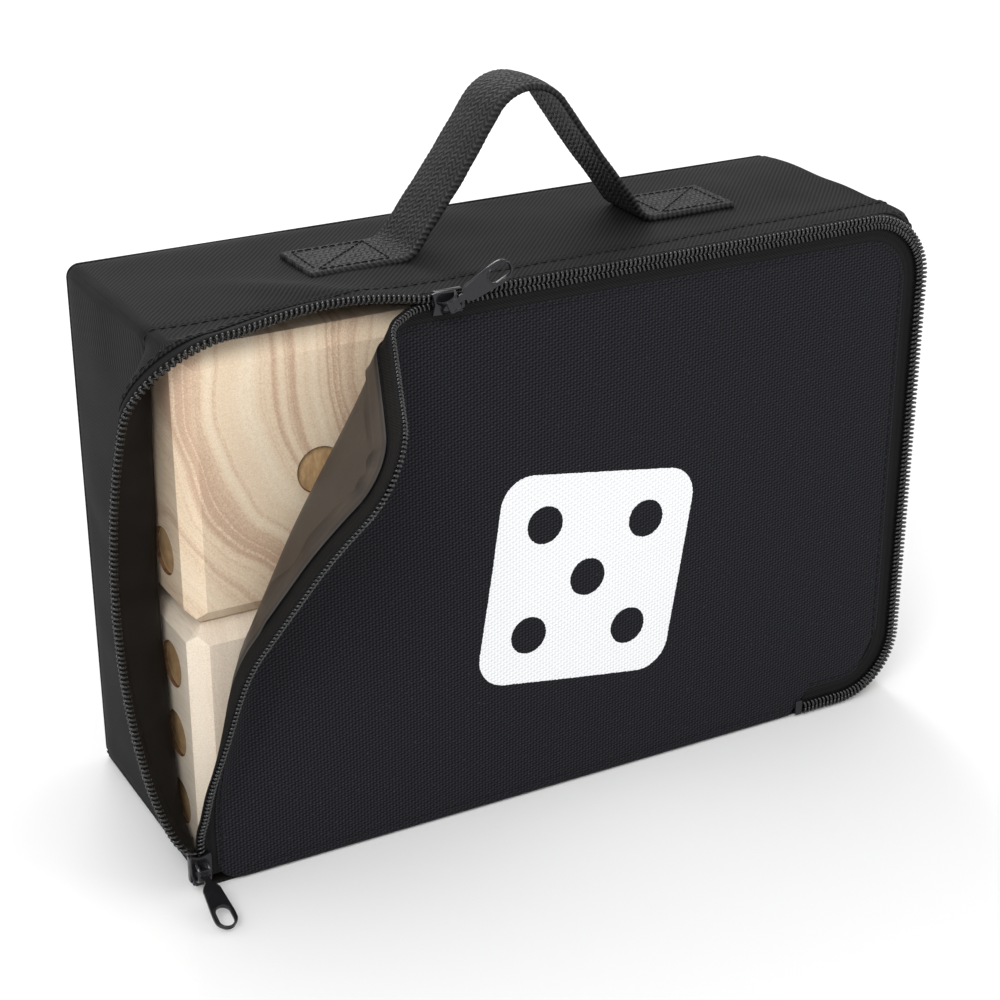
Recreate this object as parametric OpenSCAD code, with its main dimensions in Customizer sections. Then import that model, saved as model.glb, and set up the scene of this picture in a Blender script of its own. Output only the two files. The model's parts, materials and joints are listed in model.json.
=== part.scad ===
// Giant yard dice: six wooden dice in a zip-round carry case with one corner peeled open.
// Frame: +Z up, the zipped front faces -Y, +X runs along the case.
// The origin is the centre of the case's underside, on the ground. Units are millimetres.

/* [Dice] */
// Side of one wooden die
die = 88.9; // [60:0.1:110]
// Leg of the chamfer along every edge of a die
die_chamfer = 5.5; // [2:0.5:7]
// Diameter of a pip
pip_d = 15.5; // [8:0.5:17]
// Depth of a pip's recess
pip_depth = 1.2; // [0.5:0.1:3]
// Distance of the outer pips from a face's middle
pip_pitch = 25; // [20:0.5:26]

/* [Case] */
// Thickness of the coated polyester, its seam allowance included
cloth = 1; // [0.8:0.1:1.6]
// How far the zip stands above the top of the case
zip_rise = 4.8; // [4.6:0.1:8]
// Radius of the zip's path round the corners of the front
zip_r = 25; // [18:1:40]
// Where the zip ends on the bottom edge, from the middle
zip_end_x = 96; // [60:1:105]

/* [Zip] */
// Thickness of one half of the coil
coil_t = 2; // [1.5:0.1:2.6]
// Width of one half of the coil
coil_w = 2; // [1.8:0.1:2.4]
// Width of the tape beside the coil
tape_w = 7; // [5:0.5:9]

/* [Peeled corner] */
// Where the open stretch starts on the top edge, from the middle
open_x = -46; // [-60:1:-30]
// Where the open stretch ends on the left edge, above the ground
open_z = 4; // [2:1:10]
// Angle of each of the two folds
fold_angle = 40; // [10:1:60]
// Distance of the first fold from the line between the open stretch's ends
fold_1 = 11; // [6:0.5:16]
// Distance of the second fold from that line
fold_2 = 24; // [18:0.5:30]
// How far the open side edge flares outwards
side_flare = 17; // [0:1:22]

/* [Handle] */
// Width of the webbing
strap_w = 25; // [20:1:38]
// Thickness of the webbing
strap_t = 2.2; // [1.6:0.1:3]
// Half the distance between the two sewn tabs
strap_half_span = 48; // [40:1:60]
// Length of a sewn tab
tab_l = 31; // [25:1:40]
// Position of the handle's middle along the case
handle_x = 6; // [-10:1:10]
// Position of the handle's middle across the case
handle_y = 7; // [-10:1:12]

/* [Hidden] */

die_gap = 0.3;       // between neighbouring dice
floor_clear = 0.3;   // under the dice
top_clear = 0.6;     // over the dice
side_clear = 0.6;    // beside the dice
front_clear = 1.4;   // between the dice and the front, room for the sliders' back plates
back_clear = 0.4;    // behind the dice

case_w = 3 * die + 2 * die_gap + 2 * side_clear + 2 * cloth;
case_h = 2 * die + die_gap + floor_clear + top_clear + 2 * cloth;
case_d = die + front_clear + back_clear + 2 * cloth;
front_y = -case_d / 2;
dice_y = front_y + cloth + front_clear + die / 2;

// The zip's outer outline on the front; the opened left edge stands further out
zip_x = case_w / 2 + 1.5;
zip_left = case_w / 2 + 4.75;
zip_top = case_h + zip_rise;
zip_bottom = 0.8;
low_left_r = 3;      // radius of the flap's lower left corner
top_lift = 4;        // how far the open top edge rises
side_back = 7;       // how far the open side edge draws back
coil_gap = 0.8;      // between the two halves of the coil
gusset_in = 0.1;     // from the outline to the gusset's half of the coil
flap_in = gusset_in + coil_w + coil_gap;   // from the outline to the flap's half
panel_in = flap_in + tape_w;               // from the outline to the flap's cloth
tape_t = 0.6;
seam_gap = 0.15;     // half the gap between two pieces of the flap at a fold
gusset_tape_w = 7;   // from the zip back to the case's panels
lip_y = -22;         // where the loose lip of the left side begins

// The line between the ends of the open stretch, in the front's (x, z) plane
top_end = [open_x, zip_top - flap_in];
side_end = [-zip_left + flap_in, open_z];
open_len = norm(side_end - top_end);
open_dir = (side_end - top_end) / open_len;
open_normal = [open_dir[1], -open_dir[0]];  // towards the peeled corner

slider_l = 11;
slider_plate = 1;
slider_lift = 0.3;   // clearance between the slider and the zip
pin_r = 0.6;
eye_clear = 0.08;    // between a pull's eye and its pin
pull_l = 22;
pull_w = 7.5;
pull_t = 1.2;
top_slider_x = -48;
top_pull_tilt = 25;
bottom_slider_z = 10;
bottom_travel = 6;
bottom_pull_swing = 70;   // how far the lower pull stands out from its slider

black = [0.09, 0.09, 0.10];
coal = [0.13, 0.13, 0.14];
web = [0.06, 0.06, 0.06];
metal = [0.2, 0.2, 0.2];
wood = [0.87, 0.76, 0.6];

// ---------- Outlines on the front, drawn in (x, z) ----------

// The front's outline, moved inwards by off
module front_outline(off) {
    r = zip_r - off;
    low = max(low_left_r - off, 1);
    x0 = -zip_left + off;
    x1 = zip_x - off;
    z0 = zip_bottom + off;
    z1 = zip_top - off;
    translate([x0 + r, z0]) square([x1 - x0 - 2 * r, z1 - z0]);
    translate([x0, z0 + r]) square([x1 - x0, z1 - z0 - 2 * r]);
    translate([x0, z0 + low]) square([r + 0.01, r]);
    translate([x0 + low, z0]) square([r, r]);
    translate([x0 + low, z0 + low]) circle(r = low, $fn = 48);
    for (p = [[x0 + r, z1 - r], [x1 - r, z1 - r], [x1 - r, z0 + r]])
        translate(p) circle(r = r, $fn = 96);
}

// A point at a distance along and across the open stretch's line
function at_open(along, across) = top_end + along * open_dir + across * open_normal;

// The band between two distances from the open stretch's line, towards the corner
module band(from, to) {
    far = 400;
    polygon([at_open(-far, from), at_open(far, from), at_open(far, to), at_open(-far, to)]);
}

// The stretch of the front's edge that has a zip
module zipped_edge(bottom_from) {
    difference() {
        translate([-zip_left - 1, -1]) square([zip_left + zip_x + 2, zip_top + 2]);
        translate([-zip_left - 2, -2]) square([zip_end_x + zip_left + 2, open_z + 2]);
        translate([-zip_left + bottom_from, -2]) square([zip_end_x + zip_left - bottom_from, 30]);
    }
}

module edge_ring(from, to) {
    intersection() {
        difference() {
            front_outline(from);
            front_outline(to);
        }
        zipped_edge(to);
    }
}

module cloth_region() {
    front_outline(panel_in);
    translate([-zip_left + panel_in, zip_bottom + 2.5])
        square([zip_end_x + zip_left - panel_in, 40]);
}

// Stand a drawing in (x, z) up on the front: back is the side towards the dice
module stand(back, thick) {
    translate([0, front_y + back, 0]) rotate([90, 0, 0]) linear_extrude(thick) children();
}

// Turn what follows outwards about the line at a distance from the open stretch
module fold_at(across, angle) {
    p = at_open(0, across);
    translate([p[0], front_y, p[1]])
        rotate(a = angle, v = [-open_dir[0], 0, -open_dir[1]])
            translate([-p[0], -front_y, -p[1]]) children();
}

module folded_once() { fold_at(fold_1, fold_angle) children(); }
module folded_twice() { folded_once() fold_at(fold_2, fold_angle) children(); }

// ---------- The gusset's zip, worked out station by station ----------

lift_end = top_slider_x - slider_l / 2 - 1;
flare_z = bottom_slider_z + slider_l / 2 + bottom_travel + 0.5;
flare_power = 0.5;   // below 1 the side edge flares sooner at its two ends
left_n = 18;
arc_n = 8;
lift_n = 8;
// Each station: [x, z] of the outline, [x, z] outward normal, flare back, lift outwards
function left_station(i) =
    let (z1 = zip_top - zip_r, z = open_z + 2 + i / left_n * (z1 - open_z - 2),
        f = clamp((z - flare_z) / (z1 - flare_z), 0, 1))
    [[-zip_left - side_flare * pow(sin(180 * f), flare_power), z], [-1, 0], side_back * sin(180 * f)];
function arc_station(c, a) = [c + zip_r * [cos(a), sin(a)], [cos(a), sin(a)], 0];
function lift_station(i) =
    let (f = i / lift_n, x0 = -zip_left + zip_r, x = x0 + f * (lift_end - x0))
    [[x, zip_top + top_lift * sin(180 * f)], [0, 1], 0];
zip_stations = concat(
    [for (i = [0 : left_n]) left_station(i)],
    [for (i = [1 : arc_n - 1]) arc_station([-zip_left + zip_r, zip_top - zip_r], 180 - 90 * i / arc_n)],
    [for (i = [0 : lift_n]) lift_station(i)],
    [for (i = [0 : arc_n]) arc_station([zip_x - zip_r, zip_top - zip_r], 90 - 90 * i / arc_n)],
    [for (i = [0 : arc_n]) arc_station([zip_x - zip_r, zip_bottom + zip_r], -90 * i / arc_n)],
    [[[zip_end_x, zip_bottom], [0, -1], 0]]);

function spot(s, out, forward) =
    [s[0][0] + out * s[1][0], front_y + s[2] - forward, s[0][1] + out * s[1][1]];

// Where the tape is sewn to the case's side: the case's own outline, further back
sewn_r = 2;          // radius of the case's own corners
function clamp(v, lo, hi) = min(max(v, lo), hi);
function sewn(s) =
    let (x = s[0][0], z = s[0][1], lim_x = case_w / 2 - cloth / 2, lim_z = case_h - cloth / 2,
        on_arc = abs(s[1][0]) > 0.01 && abs(s[1][1]) > 0.01,
        low_z = cloth + 0.02)
    x < -zip_left + 0.01 || s[2] > 0
        ? [-lim_x, lip_y, clamp(z, cloth, lim_z)]
        : on_arc
            ? [sign(x) * (lim_x - sewn_r) + sewn_r * s[1][0], front_y + gusset_tape_w,
                (s[1][1] > 0 ? lim_z - sewn_r : low_z + sewn_r) + sewn_r * s[1][1]]
            : [clamp(x, -lim_x, lim_x), front_y + gusset_tape_w, clamp(z, low_z, lim_z)];
function toward(a, b, d) = a + (b - a) * min(1, d / norm(b - a));

// A thin strip between two rows of points, thick along each station's normal
module strip(front, back, stations, thick) {
    n = len(stations);
    out = [for (s = stations) [s[1][0], 0, s[1][1]] * thick];
    points = concat(front, back, [for (i = [0 : n - 1]) back[i] - out[i]],
        [for (i = [0 : n - 1]) front[i] - out[i]]);
    faces = concat(
        [for (k = [0 : 3]) for (i = [0 : n - 2])
            let (a = k * n + i, b = ((k + 1) % 4) * n + i)
            [a, a + 1, b + 1]],
        [for (k = [0 : 3]) for (i = [0 : n - 2])
            let (a = k * n + i, b = ((k + 1) % 4) * n + i)
            [a, b + 1, b]],
        [[0, n, 2 * n], [0, 2 * n, 3 * n]],
        [[n - 1, 3 * n - 1, 2 * n - 1], [n - 1, 4 * n - 1, 3 * n - 1]]);
    polyhedron(points, faces);
}

tape_out = -0.3;     // from the outline to the gusset tape's outer face
tape_front = [for (s = zip_stations) spot(s, tape_out, -0.02)];
tape_back = [for (i = [0 : len(zip_stations) - 1])
    toward(tape_front[i], sewn(zip_stations[i]), gusset_tape_w)];

module gusset_tape() {
    color(black) strip(tape_front, tape_back, zip_stations, tape_t);
}

module gusset_coil() {
    front = [for (s = zip_stations) spot(s, -gusset_in, coil_t)];
    back = [for (s = zip_stations) spot(s, -gusset_in, 0)];
    color(coal) strip(front, back, zip_stations, coil_w);
}

// The loose front of the left side, from the side panel out to the zip's tape
module left_lip() {
    rows = [for (i = [0 : left_n]) i];
    stations = [for (i = rows) zip_stations[i]];
    front = [for (i = rows) toward(tape_back[i], sewn(zip_stations[i]), 0.2)];
    back = [for (i = rows) sewn(zip_stations[i]) + [0, -0.1, 0]];
    color(black) strip(front, back, stations, cloth);
}

// Stops that hold the two tapes together at the zip's two ends
module zip_end_stops() {
    stop = [3, 1.2, 5.6];
    color(coal) translate([zip_end_x - stop[0] - 0.3, front_y - stop[1], zip_bottom])
        cube(stop);
}

// ---------- The case's panels ----------

module back_panel() {
    color(black) translate([-case_w / 2 + cloth, case_d / 2 - cloth, cloth])
        cube([case_w - 2 * cloth, cloth, case_h - 2 * cloth]);
}

module bottom_panel() {
    color(black) translate([-case_w / 2, front_y + cloth + 0.3, 0])
        cube([case_w, case_d - cloth - 0.3, cloth]);
}

module top_panel() {
    color(black) translate([-case_w / 2, front_y + gusset_tape_w + 0.2, case_h - cloth])
        cube([case_w, case_d - gusset_tape_w - 0.2, cloth]);
}

module side_panel(x, y0) {
    color(black) translate([x, y0, cloth])
        cube([cloth, case_d / 2 - y0, case_h - 2 * cloth]);
}

// The left side stops short where its loose lip begins
module left_panel() {
    y0 = front_y + gusset_tape_w + 0.2;
    difference() {
        side_panel(-case_w / 2, y0);
        translate([-case_w / 2 - 1, y0 - 1, open_z + 1.8])
            cube([cloth + 2, lip_y + 0.2 - y0 + 1, zip_top - zip_r - open_z - 1.6]);
    }
}
module right_panel() { side_panel(case_w / 2 - cloth, front_y + gusset_tape_w + 0.2); }

// ---------- The handle ----------

rise_angle = 55;     // slope of the strap's straight stretches
base_r = 8;          // bend where the strap leaves the case
crown_r = 16;        // bend at the top
straight_l = (strap_half_span - (base_r + crown_r) * sin(rise_angle)) / cos(rise_angle);
arc_steps = 6;

// Half of the strap's centre line, from the tab to the top, as [x, z, slope]
function base_bend(i) = let (a = rise_angle * i / arc_steps)
    [-strap_half_span + base_r * sin(a), base_r * (1 - cos(a)), a];
function crown_bend(i) = let (a = rise_angle * (1 - i / arc_steps), e = base_bend(arc_steps),
        top_z = e[1] + straight_l * sin(rise_angle) + crown_r * (1 - cos(rise_angle)))
    [-crown_r * sin(a), top_z - crown_r * (1 - cos(a)), a];
half_line = concat([for (i = [0 : arc_steps]) base_bend(i)],
    [for (i = [0 : arc_steps]) crown_bend(i)]);
strap_line = concat(half_line, [for (i = [len(half_line) - 2 : -1 : 0])
    [-half_line[i][0], half_line[i][1], -half_line[i][2]]]);
function beside(p, d) = [p[0] - d * sin(p[2]), p[1] + d * cos(p[2])];
strap_z = case_h + 0.1 + strap_t / 2;

module handle_strap() {
    n = len(strap_line);
    outline = concat([for (p = strap_line) beside(p, strap_t / 2)],
        [for (i = [n - 1 : -1 : 0]) beside(strap_line[i], -strap_t / 2)]);
    color(web) translate([handle_x, handle_y + strap_w / 2, strap_z])
        rotate([90, 0, 0]) linear_extrude(strap_w) polygon(outline);
}

module handle_tab(side) {
    x0 = side < 0 ? -strap_half_span - tab_l : strap_half_span + 0.3;
    color(web) translate([handle_x + x0, handle_y - strap_w / 2, case_h])
        cube([tab_l - 0.3, strap_w, strap_t]);
}

module handle_tab_left() { handle_tab(-1); }
module handle_tab_right() { handle_tab(1); }

// ---------- The flap ----------

module flap_panel() {
    color(coal) stand(cloth, cloth) intersection() {
        cloth_region();
        band(-500, fold_1 - seam_gap);
    }
}

// The turned and stitched bottom edge that the flap hangs on
module flap_hem() {
    color(black) stand(cloth, cloth) translate([-zip_left + panel_in, zip_bottom])
        square([zip_end_x + zip_left - panel_in, 2.3]);
}

module flap_tape() {
    color(black) stand(tape_t, tape_t) intersection() {
        edge_ring(flap_in, panel_in - 0.2);
        band(-500, fold_1 - seam_gap);
    }
}

module flap_coil() {
    color(coal) stand(0, coil_t) intersection() {
        edge_ring(flap_in, flap_in + coil_w);
        band(-500, fold_1 - seam_gap);
    }
}

module crease_panel() {
    color(coal) folded_once() stand(cloth, cloth) intersection() {
        cloth_region();
        band(fold_1 + 2 * seam_gap, fold_2 - seam_gap);
    }
}

module crease_tape() {
    color(black) folded_once() stand(tape_t, tape_t) intersection() {
        edge_ring(flap_in, panel_in - 0.2);
        band(fold_1 + 2 * seam_gap, fold_2 - seam_gap);
    }
}

module crease_coil() {
    color(coal) folded_once() stand(0, coil_t) intersection() {
        edge_ring(flap_in, flap_in + coil_w);
        band(fold_1 + 12 * seam_gap, fold_2 - seam_gap);
    }
}

module corner_panel() {
    color(coal) folded_twice() stand(cloth, cloth) intersection() {
        cloth_region();
        band(fold_2 + 2 * seam_gap, 200);
    }
}

module corner_tape() {
    color(black) folded_twice() stand(tape_t, tape_t) intersection() {
        edge_ring(flap_in, panel_in - 0.2);
        band(fold_2 + 2 * seam_gap, 200);
    }
}

module corner_coil() {
    color(coal) folded_twice() stand(0, coil_t) intersection() {
        edge_ring(flap_in, flap_in + coil_w);
        band(fold_2 + 12 * seam_gap, 200);
    }
}

// ---------- Sliders and pulls ----------
// A slider is drawn with its travel along +X, outwards along +Z and the outline along y = 0.

pin_h = coil_t + slider_lift + slider_plate + 2.1;   // height of the pull's pin
across_mid = -(flap_in + coil_w) / 2;
cheek_in = 1.4;      // from the slider's middle to the inside of a cheek
cheek_t = 0.8;

// turn: the pull's direction; mouth: 1 or -1, the end where the zip is open
module slider_body(turn, mouth) {
    wide = flap_in + coil_w + 2 * slider_lift;
    // Front plate with its two turned-down edges
    difference() {
        translate([-slider_l / 2, -wide - 0.7, 0.5])
            cube([slider_l, wide + 1.7, coil_t + slider_lift + slider_plate - 0.5]);
        translate([-slider_l, -wide, 0])
            cube([2 * slider_l, wide + 0.3, coil_t + slider_lift]);
    }
    // Back plate
    translate([-slider_l / 2, -wide, -tape_t - slider_lift - 0.8])
        cube([slider_l, wide - 2.3, 0.8]);
    // Post that joins the two plates between the two halves of the coil
    post_t = coil_gap / 2;
    translate([mouth * (slider_l / 2 - 2) - 2, -flap_in + post_t / 2, -tape_t - slider_lift - 0.8])
        cube([4, post_t, coil_t + tape_t + 2 * slider_lift + 1]);
    // Crown with the pin that carries the pull
    translate([0, across_mid, 0]) rotate([0, 0, turn]) {
        for (s = [-1, 1]) translate([-1.5, s * (cheek_in + cheek_t / 2) - cheek_t / 2, pin_h - 2.3])
            cube([3, cheek_t, 3.3]);
        translate([0, 0, pin_h]) rotate([90, 0, 0])
            cylinder(r = pin_r, h = 2 * cheek_in + 0.2, center = true, $fn = 32);
    }
}

// The pull lies along +X from its pin at the origin
module pull_body() {
    eye_r = pin_r + eye_clear;
    neck_w = 2 * cheek_in - 0.7;
    difference() {
        union() {
            rotate([90, 0, 0]) cylinder(r = 1.7, h = neck_w, center = true, $fn = 40);
            translate([0, -neck_w / 2, -pull_t / 2]) cube([5, neck_w, pull_t]);
        }
        rotate([90, 0, 0]) cylinder(r = eye_r, h = 2 * neck_w, center = true, $fn = 32);
    }
    difference() {
        union() {
            translate([4, -pull_w / 2, -pull_t / 2]) cube([pull_l - 4 - pull_w / 2, pull_w, pull_t]);
            translate([pull_l - pull_w / 2, 0, -pull_t / 2])
                cylinder(d = pull_w, h = pull_t, $fn = 64);
        }
        for (x = [-1.5, 1]) translate([pull_l - pull_w / 2 + x, 0, -pull_t])
            cylinder(d = 4.6, h = 2 * pull_t, $fn = 48);
        translate([pull_l - pull_w / 2 - 1.5, -2.3, -pull_t]) cube([2.5, 4.6, 2 * pull_t]);
    }
}

// Travel along +X on the top edge
module on_top() {
    translate([top_slider_x, front_y, zip_top]) rotate([90, 0, 0]) children();
}

// Travel up the left edge, post first
module on_side() {
    translate([-zip_left, front_y, bottom_slider_z]) rotate([90, 0, 0]) rotate([0, 0, 90]) children();
}

module top_slider() { color(metal) on_top() slider_body(top_pull_tilt, -1); }
module top_pull() {
    color(metal) on_top() translate([0, across_mid, pin_h]) rotate([0, 0, top_pull_tilt]) pull_body();
}
module bottom_slider() { color(metal) on_side() slider_body(180, 1); }
module bottom_pull() {
    color(metal) on_side() translate([0, across_mid, pin_h])
        rotate([0, 0, 180]) rotate([0, -bottom_pull_swing, 0]) pull_body();
}

// ---------- The dice ----------

module octagon(side, c) {
    h = side / 2;
    polygon([[-h + c, -h], [h - c, -h], [h, -h + c], [h, h - c],
        [h - c, h], [-h + c, h], [-h, h - c], [-h, -h + c]]);
}

module chamfered_cube(side, c) {
    intersection() {
        translate([0, 0, -side / 2]) linear_extrude(side) octagon(side, c);
        rotate([90, 0, 0]) translate([0, 0, -side / 2]) linear_extrude(side) octagon(side, c);
        rotate([0, 90, 0]) translate([0, 0, -side / 2]) linear_extrude(side) octagon(side, c);
    }
}

// Places of the pips for a face's number, in units of the pitch
function pip_places(n) = concat(
    n % 2 == 1 ? [[0, 0]] : [],
    n >= 2 ? [[-1, -1], [1, 1]] : [],
    n >= 4 ? [[-1, 1], [1, -1]] : [],
    n == 6 ? [[-1, 0], [1, 0]] : []);

module pips(n, side = 1) {
    for (p = pip_places(n)) translate([side * p[0] * pip_pitch, p[1] * pip_pitch, die / 2 - pip_depth])
        cylinder(d = pip_d, h = 2 * pip_depth, $fn = 64);
}

// Numbers facing the front, the left and the top; opposite faces add up to seven
module wooden_die(front, left, top) {
    color(wood) difference() {
        chamfered_cube(die, die_chamfer);
        rotate([90, 0, 0]) pips(front);
        rotate([-90, 0, 0]) pips(7 - front);
        rotate([90, 0, -90]) pips(left, -1);
        rotate([90, 0, 90]) pips(7 - left, -1);
        pips(top);
        rotate([180, 0, 0]) pips(7 - top);
    }
}

module place_die(column, row) {
    translate([column * (die + die_gap), dice_y,
        cloth + floor_clear + die / 2 + row * (die + die_gap)]) children();
}

module die_1() { place_die(-1, 1) wooden_die(1, 2, 3); }
module die_2() { place_die(0, 1) wooden_die(4, 5, 1); }
module die_3() { place_die(1, 1) wooden_die(2, 4, 6); }
module die_4() { place_die(-1, 0) wooden_die(3, 6, 2); }
module die_5() { place_die(0, 0) wooden_die(6, 3, 5); }
module die_6() { place_die(1, 0) wooden_die(5, 1, 4); }

back_panel();
bottom_panel();
top_panel();
left_panel();
right_panel();
left_lip();
gusset_tape();
gusset_coil();
zip_end_stops();
handle_tab_left();
handle_tab_right();
handle_strap();
flap_panel();
flap_hem();
flap_tape();
flap_coil();
crease_panel();
crease_tape();
crease_coil();
corner_panel();
corner_tape();
corner_coil();
top_slider();
top_pull();
bottom_slider();
bottom_pull();
die_1();
die_2();
die_3();
die_4();
die_5();
die_6();
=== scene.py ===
"""Giant yard dice: six wooden dice in a zip-round carry case with one corner peeled open.

Shapes are worked out in millimetres in the CAD frame and made in metres.
"""

import bisect
import json
import math

import bpy
from mathutils import Matrix, Vector, noise
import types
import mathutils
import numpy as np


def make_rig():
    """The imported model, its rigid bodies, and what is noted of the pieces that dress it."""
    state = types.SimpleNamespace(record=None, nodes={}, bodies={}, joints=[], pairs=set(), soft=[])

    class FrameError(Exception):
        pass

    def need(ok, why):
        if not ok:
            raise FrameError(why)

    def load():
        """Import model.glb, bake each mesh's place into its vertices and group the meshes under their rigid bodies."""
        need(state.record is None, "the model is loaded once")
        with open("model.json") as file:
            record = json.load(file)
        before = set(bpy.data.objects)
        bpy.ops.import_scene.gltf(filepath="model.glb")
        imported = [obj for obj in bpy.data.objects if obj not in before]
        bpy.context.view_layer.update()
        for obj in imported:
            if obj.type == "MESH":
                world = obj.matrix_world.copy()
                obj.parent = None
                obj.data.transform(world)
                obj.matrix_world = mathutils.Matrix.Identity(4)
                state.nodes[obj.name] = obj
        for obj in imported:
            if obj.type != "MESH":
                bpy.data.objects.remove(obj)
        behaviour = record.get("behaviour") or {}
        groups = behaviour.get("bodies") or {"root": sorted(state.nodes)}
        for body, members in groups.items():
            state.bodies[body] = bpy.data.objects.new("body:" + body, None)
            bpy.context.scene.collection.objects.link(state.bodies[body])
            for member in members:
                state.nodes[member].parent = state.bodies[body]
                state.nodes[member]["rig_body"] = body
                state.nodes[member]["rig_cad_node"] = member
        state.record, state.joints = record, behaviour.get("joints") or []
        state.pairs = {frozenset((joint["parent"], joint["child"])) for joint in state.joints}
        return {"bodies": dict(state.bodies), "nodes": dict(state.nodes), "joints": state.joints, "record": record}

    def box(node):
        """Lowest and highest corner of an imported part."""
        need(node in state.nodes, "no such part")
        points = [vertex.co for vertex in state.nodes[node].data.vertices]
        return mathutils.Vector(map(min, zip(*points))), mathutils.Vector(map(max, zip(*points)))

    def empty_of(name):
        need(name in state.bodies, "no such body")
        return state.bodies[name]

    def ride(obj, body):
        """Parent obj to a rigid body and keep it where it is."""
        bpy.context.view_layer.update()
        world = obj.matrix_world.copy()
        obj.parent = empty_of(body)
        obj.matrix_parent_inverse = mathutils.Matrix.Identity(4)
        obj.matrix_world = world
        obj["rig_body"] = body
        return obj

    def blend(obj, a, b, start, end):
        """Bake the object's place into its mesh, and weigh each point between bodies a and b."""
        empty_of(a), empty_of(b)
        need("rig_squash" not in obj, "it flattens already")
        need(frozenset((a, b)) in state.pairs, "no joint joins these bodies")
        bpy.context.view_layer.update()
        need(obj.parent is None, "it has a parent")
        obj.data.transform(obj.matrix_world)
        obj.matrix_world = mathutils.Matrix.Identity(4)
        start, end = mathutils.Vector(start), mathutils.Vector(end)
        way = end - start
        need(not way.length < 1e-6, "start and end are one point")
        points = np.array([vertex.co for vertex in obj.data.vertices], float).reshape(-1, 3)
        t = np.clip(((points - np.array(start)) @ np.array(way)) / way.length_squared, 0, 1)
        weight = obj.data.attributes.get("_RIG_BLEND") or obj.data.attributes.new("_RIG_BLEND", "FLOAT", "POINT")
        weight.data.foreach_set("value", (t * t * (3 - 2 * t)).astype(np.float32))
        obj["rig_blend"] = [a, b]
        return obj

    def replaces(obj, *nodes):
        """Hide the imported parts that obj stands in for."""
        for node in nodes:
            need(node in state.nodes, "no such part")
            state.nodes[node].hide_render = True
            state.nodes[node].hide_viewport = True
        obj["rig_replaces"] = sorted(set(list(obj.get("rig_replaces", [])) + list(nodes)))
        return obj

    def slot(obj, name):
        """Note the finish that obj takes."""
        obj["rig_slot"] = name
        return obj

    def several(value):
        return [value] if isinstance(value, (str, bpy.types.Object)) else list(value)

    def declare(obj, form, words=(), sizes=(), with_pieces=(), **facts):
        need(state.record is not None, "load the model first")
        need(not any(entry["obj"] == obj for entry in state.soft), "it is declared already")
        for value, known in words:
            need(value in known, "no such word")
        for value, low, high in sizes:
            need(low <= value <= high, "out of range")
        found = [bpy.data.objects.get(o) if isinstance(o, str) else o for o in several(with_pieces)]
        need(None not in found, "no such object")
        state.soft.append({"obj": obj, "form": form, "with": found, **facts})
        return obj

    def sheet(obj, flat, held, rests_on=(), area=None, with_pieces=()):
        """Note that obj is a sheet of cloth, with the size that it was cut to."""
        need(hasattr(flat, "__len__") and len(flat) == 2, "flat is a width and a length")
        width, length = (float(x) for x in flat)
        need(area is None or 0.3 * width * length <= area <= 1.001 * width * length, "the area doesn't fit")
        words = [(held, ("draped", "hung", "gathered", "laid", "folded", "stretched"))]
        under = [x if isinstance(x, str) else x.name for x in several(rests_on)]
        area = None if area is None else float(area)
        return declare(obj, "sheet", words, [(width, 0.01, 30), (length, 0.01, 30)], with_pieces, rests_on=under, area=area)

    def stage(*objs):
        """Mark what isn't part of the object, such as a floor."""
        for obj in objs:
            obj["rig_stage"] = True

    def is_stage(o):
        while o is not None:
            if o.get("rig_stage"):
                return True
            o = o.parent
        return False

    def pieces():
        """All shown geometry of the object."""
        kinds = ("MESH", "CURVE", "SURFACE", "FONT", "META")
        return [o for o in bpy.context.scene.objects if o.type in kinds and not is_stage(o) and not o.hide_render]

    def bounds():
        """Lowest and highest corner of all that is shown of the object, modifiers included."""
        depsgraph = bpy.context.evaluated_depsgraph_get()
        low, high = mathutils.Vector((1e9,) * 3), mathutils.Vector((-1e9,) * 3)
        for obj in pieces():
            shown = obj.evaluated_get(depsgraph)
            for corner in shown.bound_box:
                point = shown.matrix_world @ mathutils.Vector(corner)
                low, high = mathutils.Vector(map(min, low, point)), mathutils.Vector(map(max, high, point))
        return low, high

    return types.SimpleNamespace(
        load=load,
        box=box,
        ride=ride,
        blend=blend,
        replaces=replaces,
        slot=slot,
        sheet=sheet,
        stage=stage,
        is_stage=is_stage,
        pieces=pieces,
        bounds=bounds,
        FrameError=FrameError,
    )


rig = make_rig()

MM = 0.001
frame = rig.load()
cad_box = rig.bounds()
joints = {j["name"]: j for j in frame["joints"]}


# ---------------------------------------------------------------- sizes from the frame

def low(node):
    return [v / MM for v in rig.box(node)[0]]


def high(node):
    return [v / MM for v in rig.box(node)[1]]


FRONT_Y = low("flap_panel")[1]
BACK_Y = high("back_panel")[1]
CASE_X = high("right_panel")[0]
CASE_TOP = high("top_panel")[2]
FLAP_IN = 2.9          # from the zip's outline to the flap's half of the coil
ZIP_LEFT = low("flap_coil")[0] - FLAP_IN
ZIP_RIGHT = high("flap_coil")[0] + FLAP_IN
ZIP_TOP = high("flap_coil")[2] + FLAP_IN
ZIP_BOTTOM = low("flap_hem")[2]
ZIP_START_Z = 5.0      # where the zip starts on the left edge
ZIP_END_X = high("zip_end_stops")[0] + 0.3
ZIP_R = 25.0
BODY_R = 3.5           # radius of the case's own corners
CLOTH_LOW_R = 9.0      # radius of its lower left corner
CLOTH_IN = 9.0         # from the zip's outline to the folded edge of the flap's cloth
TAPE_OUT_IN = 11.5     # from the zip's outline to the hidden edge of the flap's tape
SIDE_FLARE = -low("gusset_coil")[0] + ZIP_LEFT
TOP_LIFT = high("gusset_coil")[2] - ZIP_TOP
SIDE_BACK = 7.0        # how far the open side edge draws back
LIFT_END = low("top_slider")[0] - 1.0
FLARE_START = 15.0     # height where the side edge starts to flare
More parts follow.
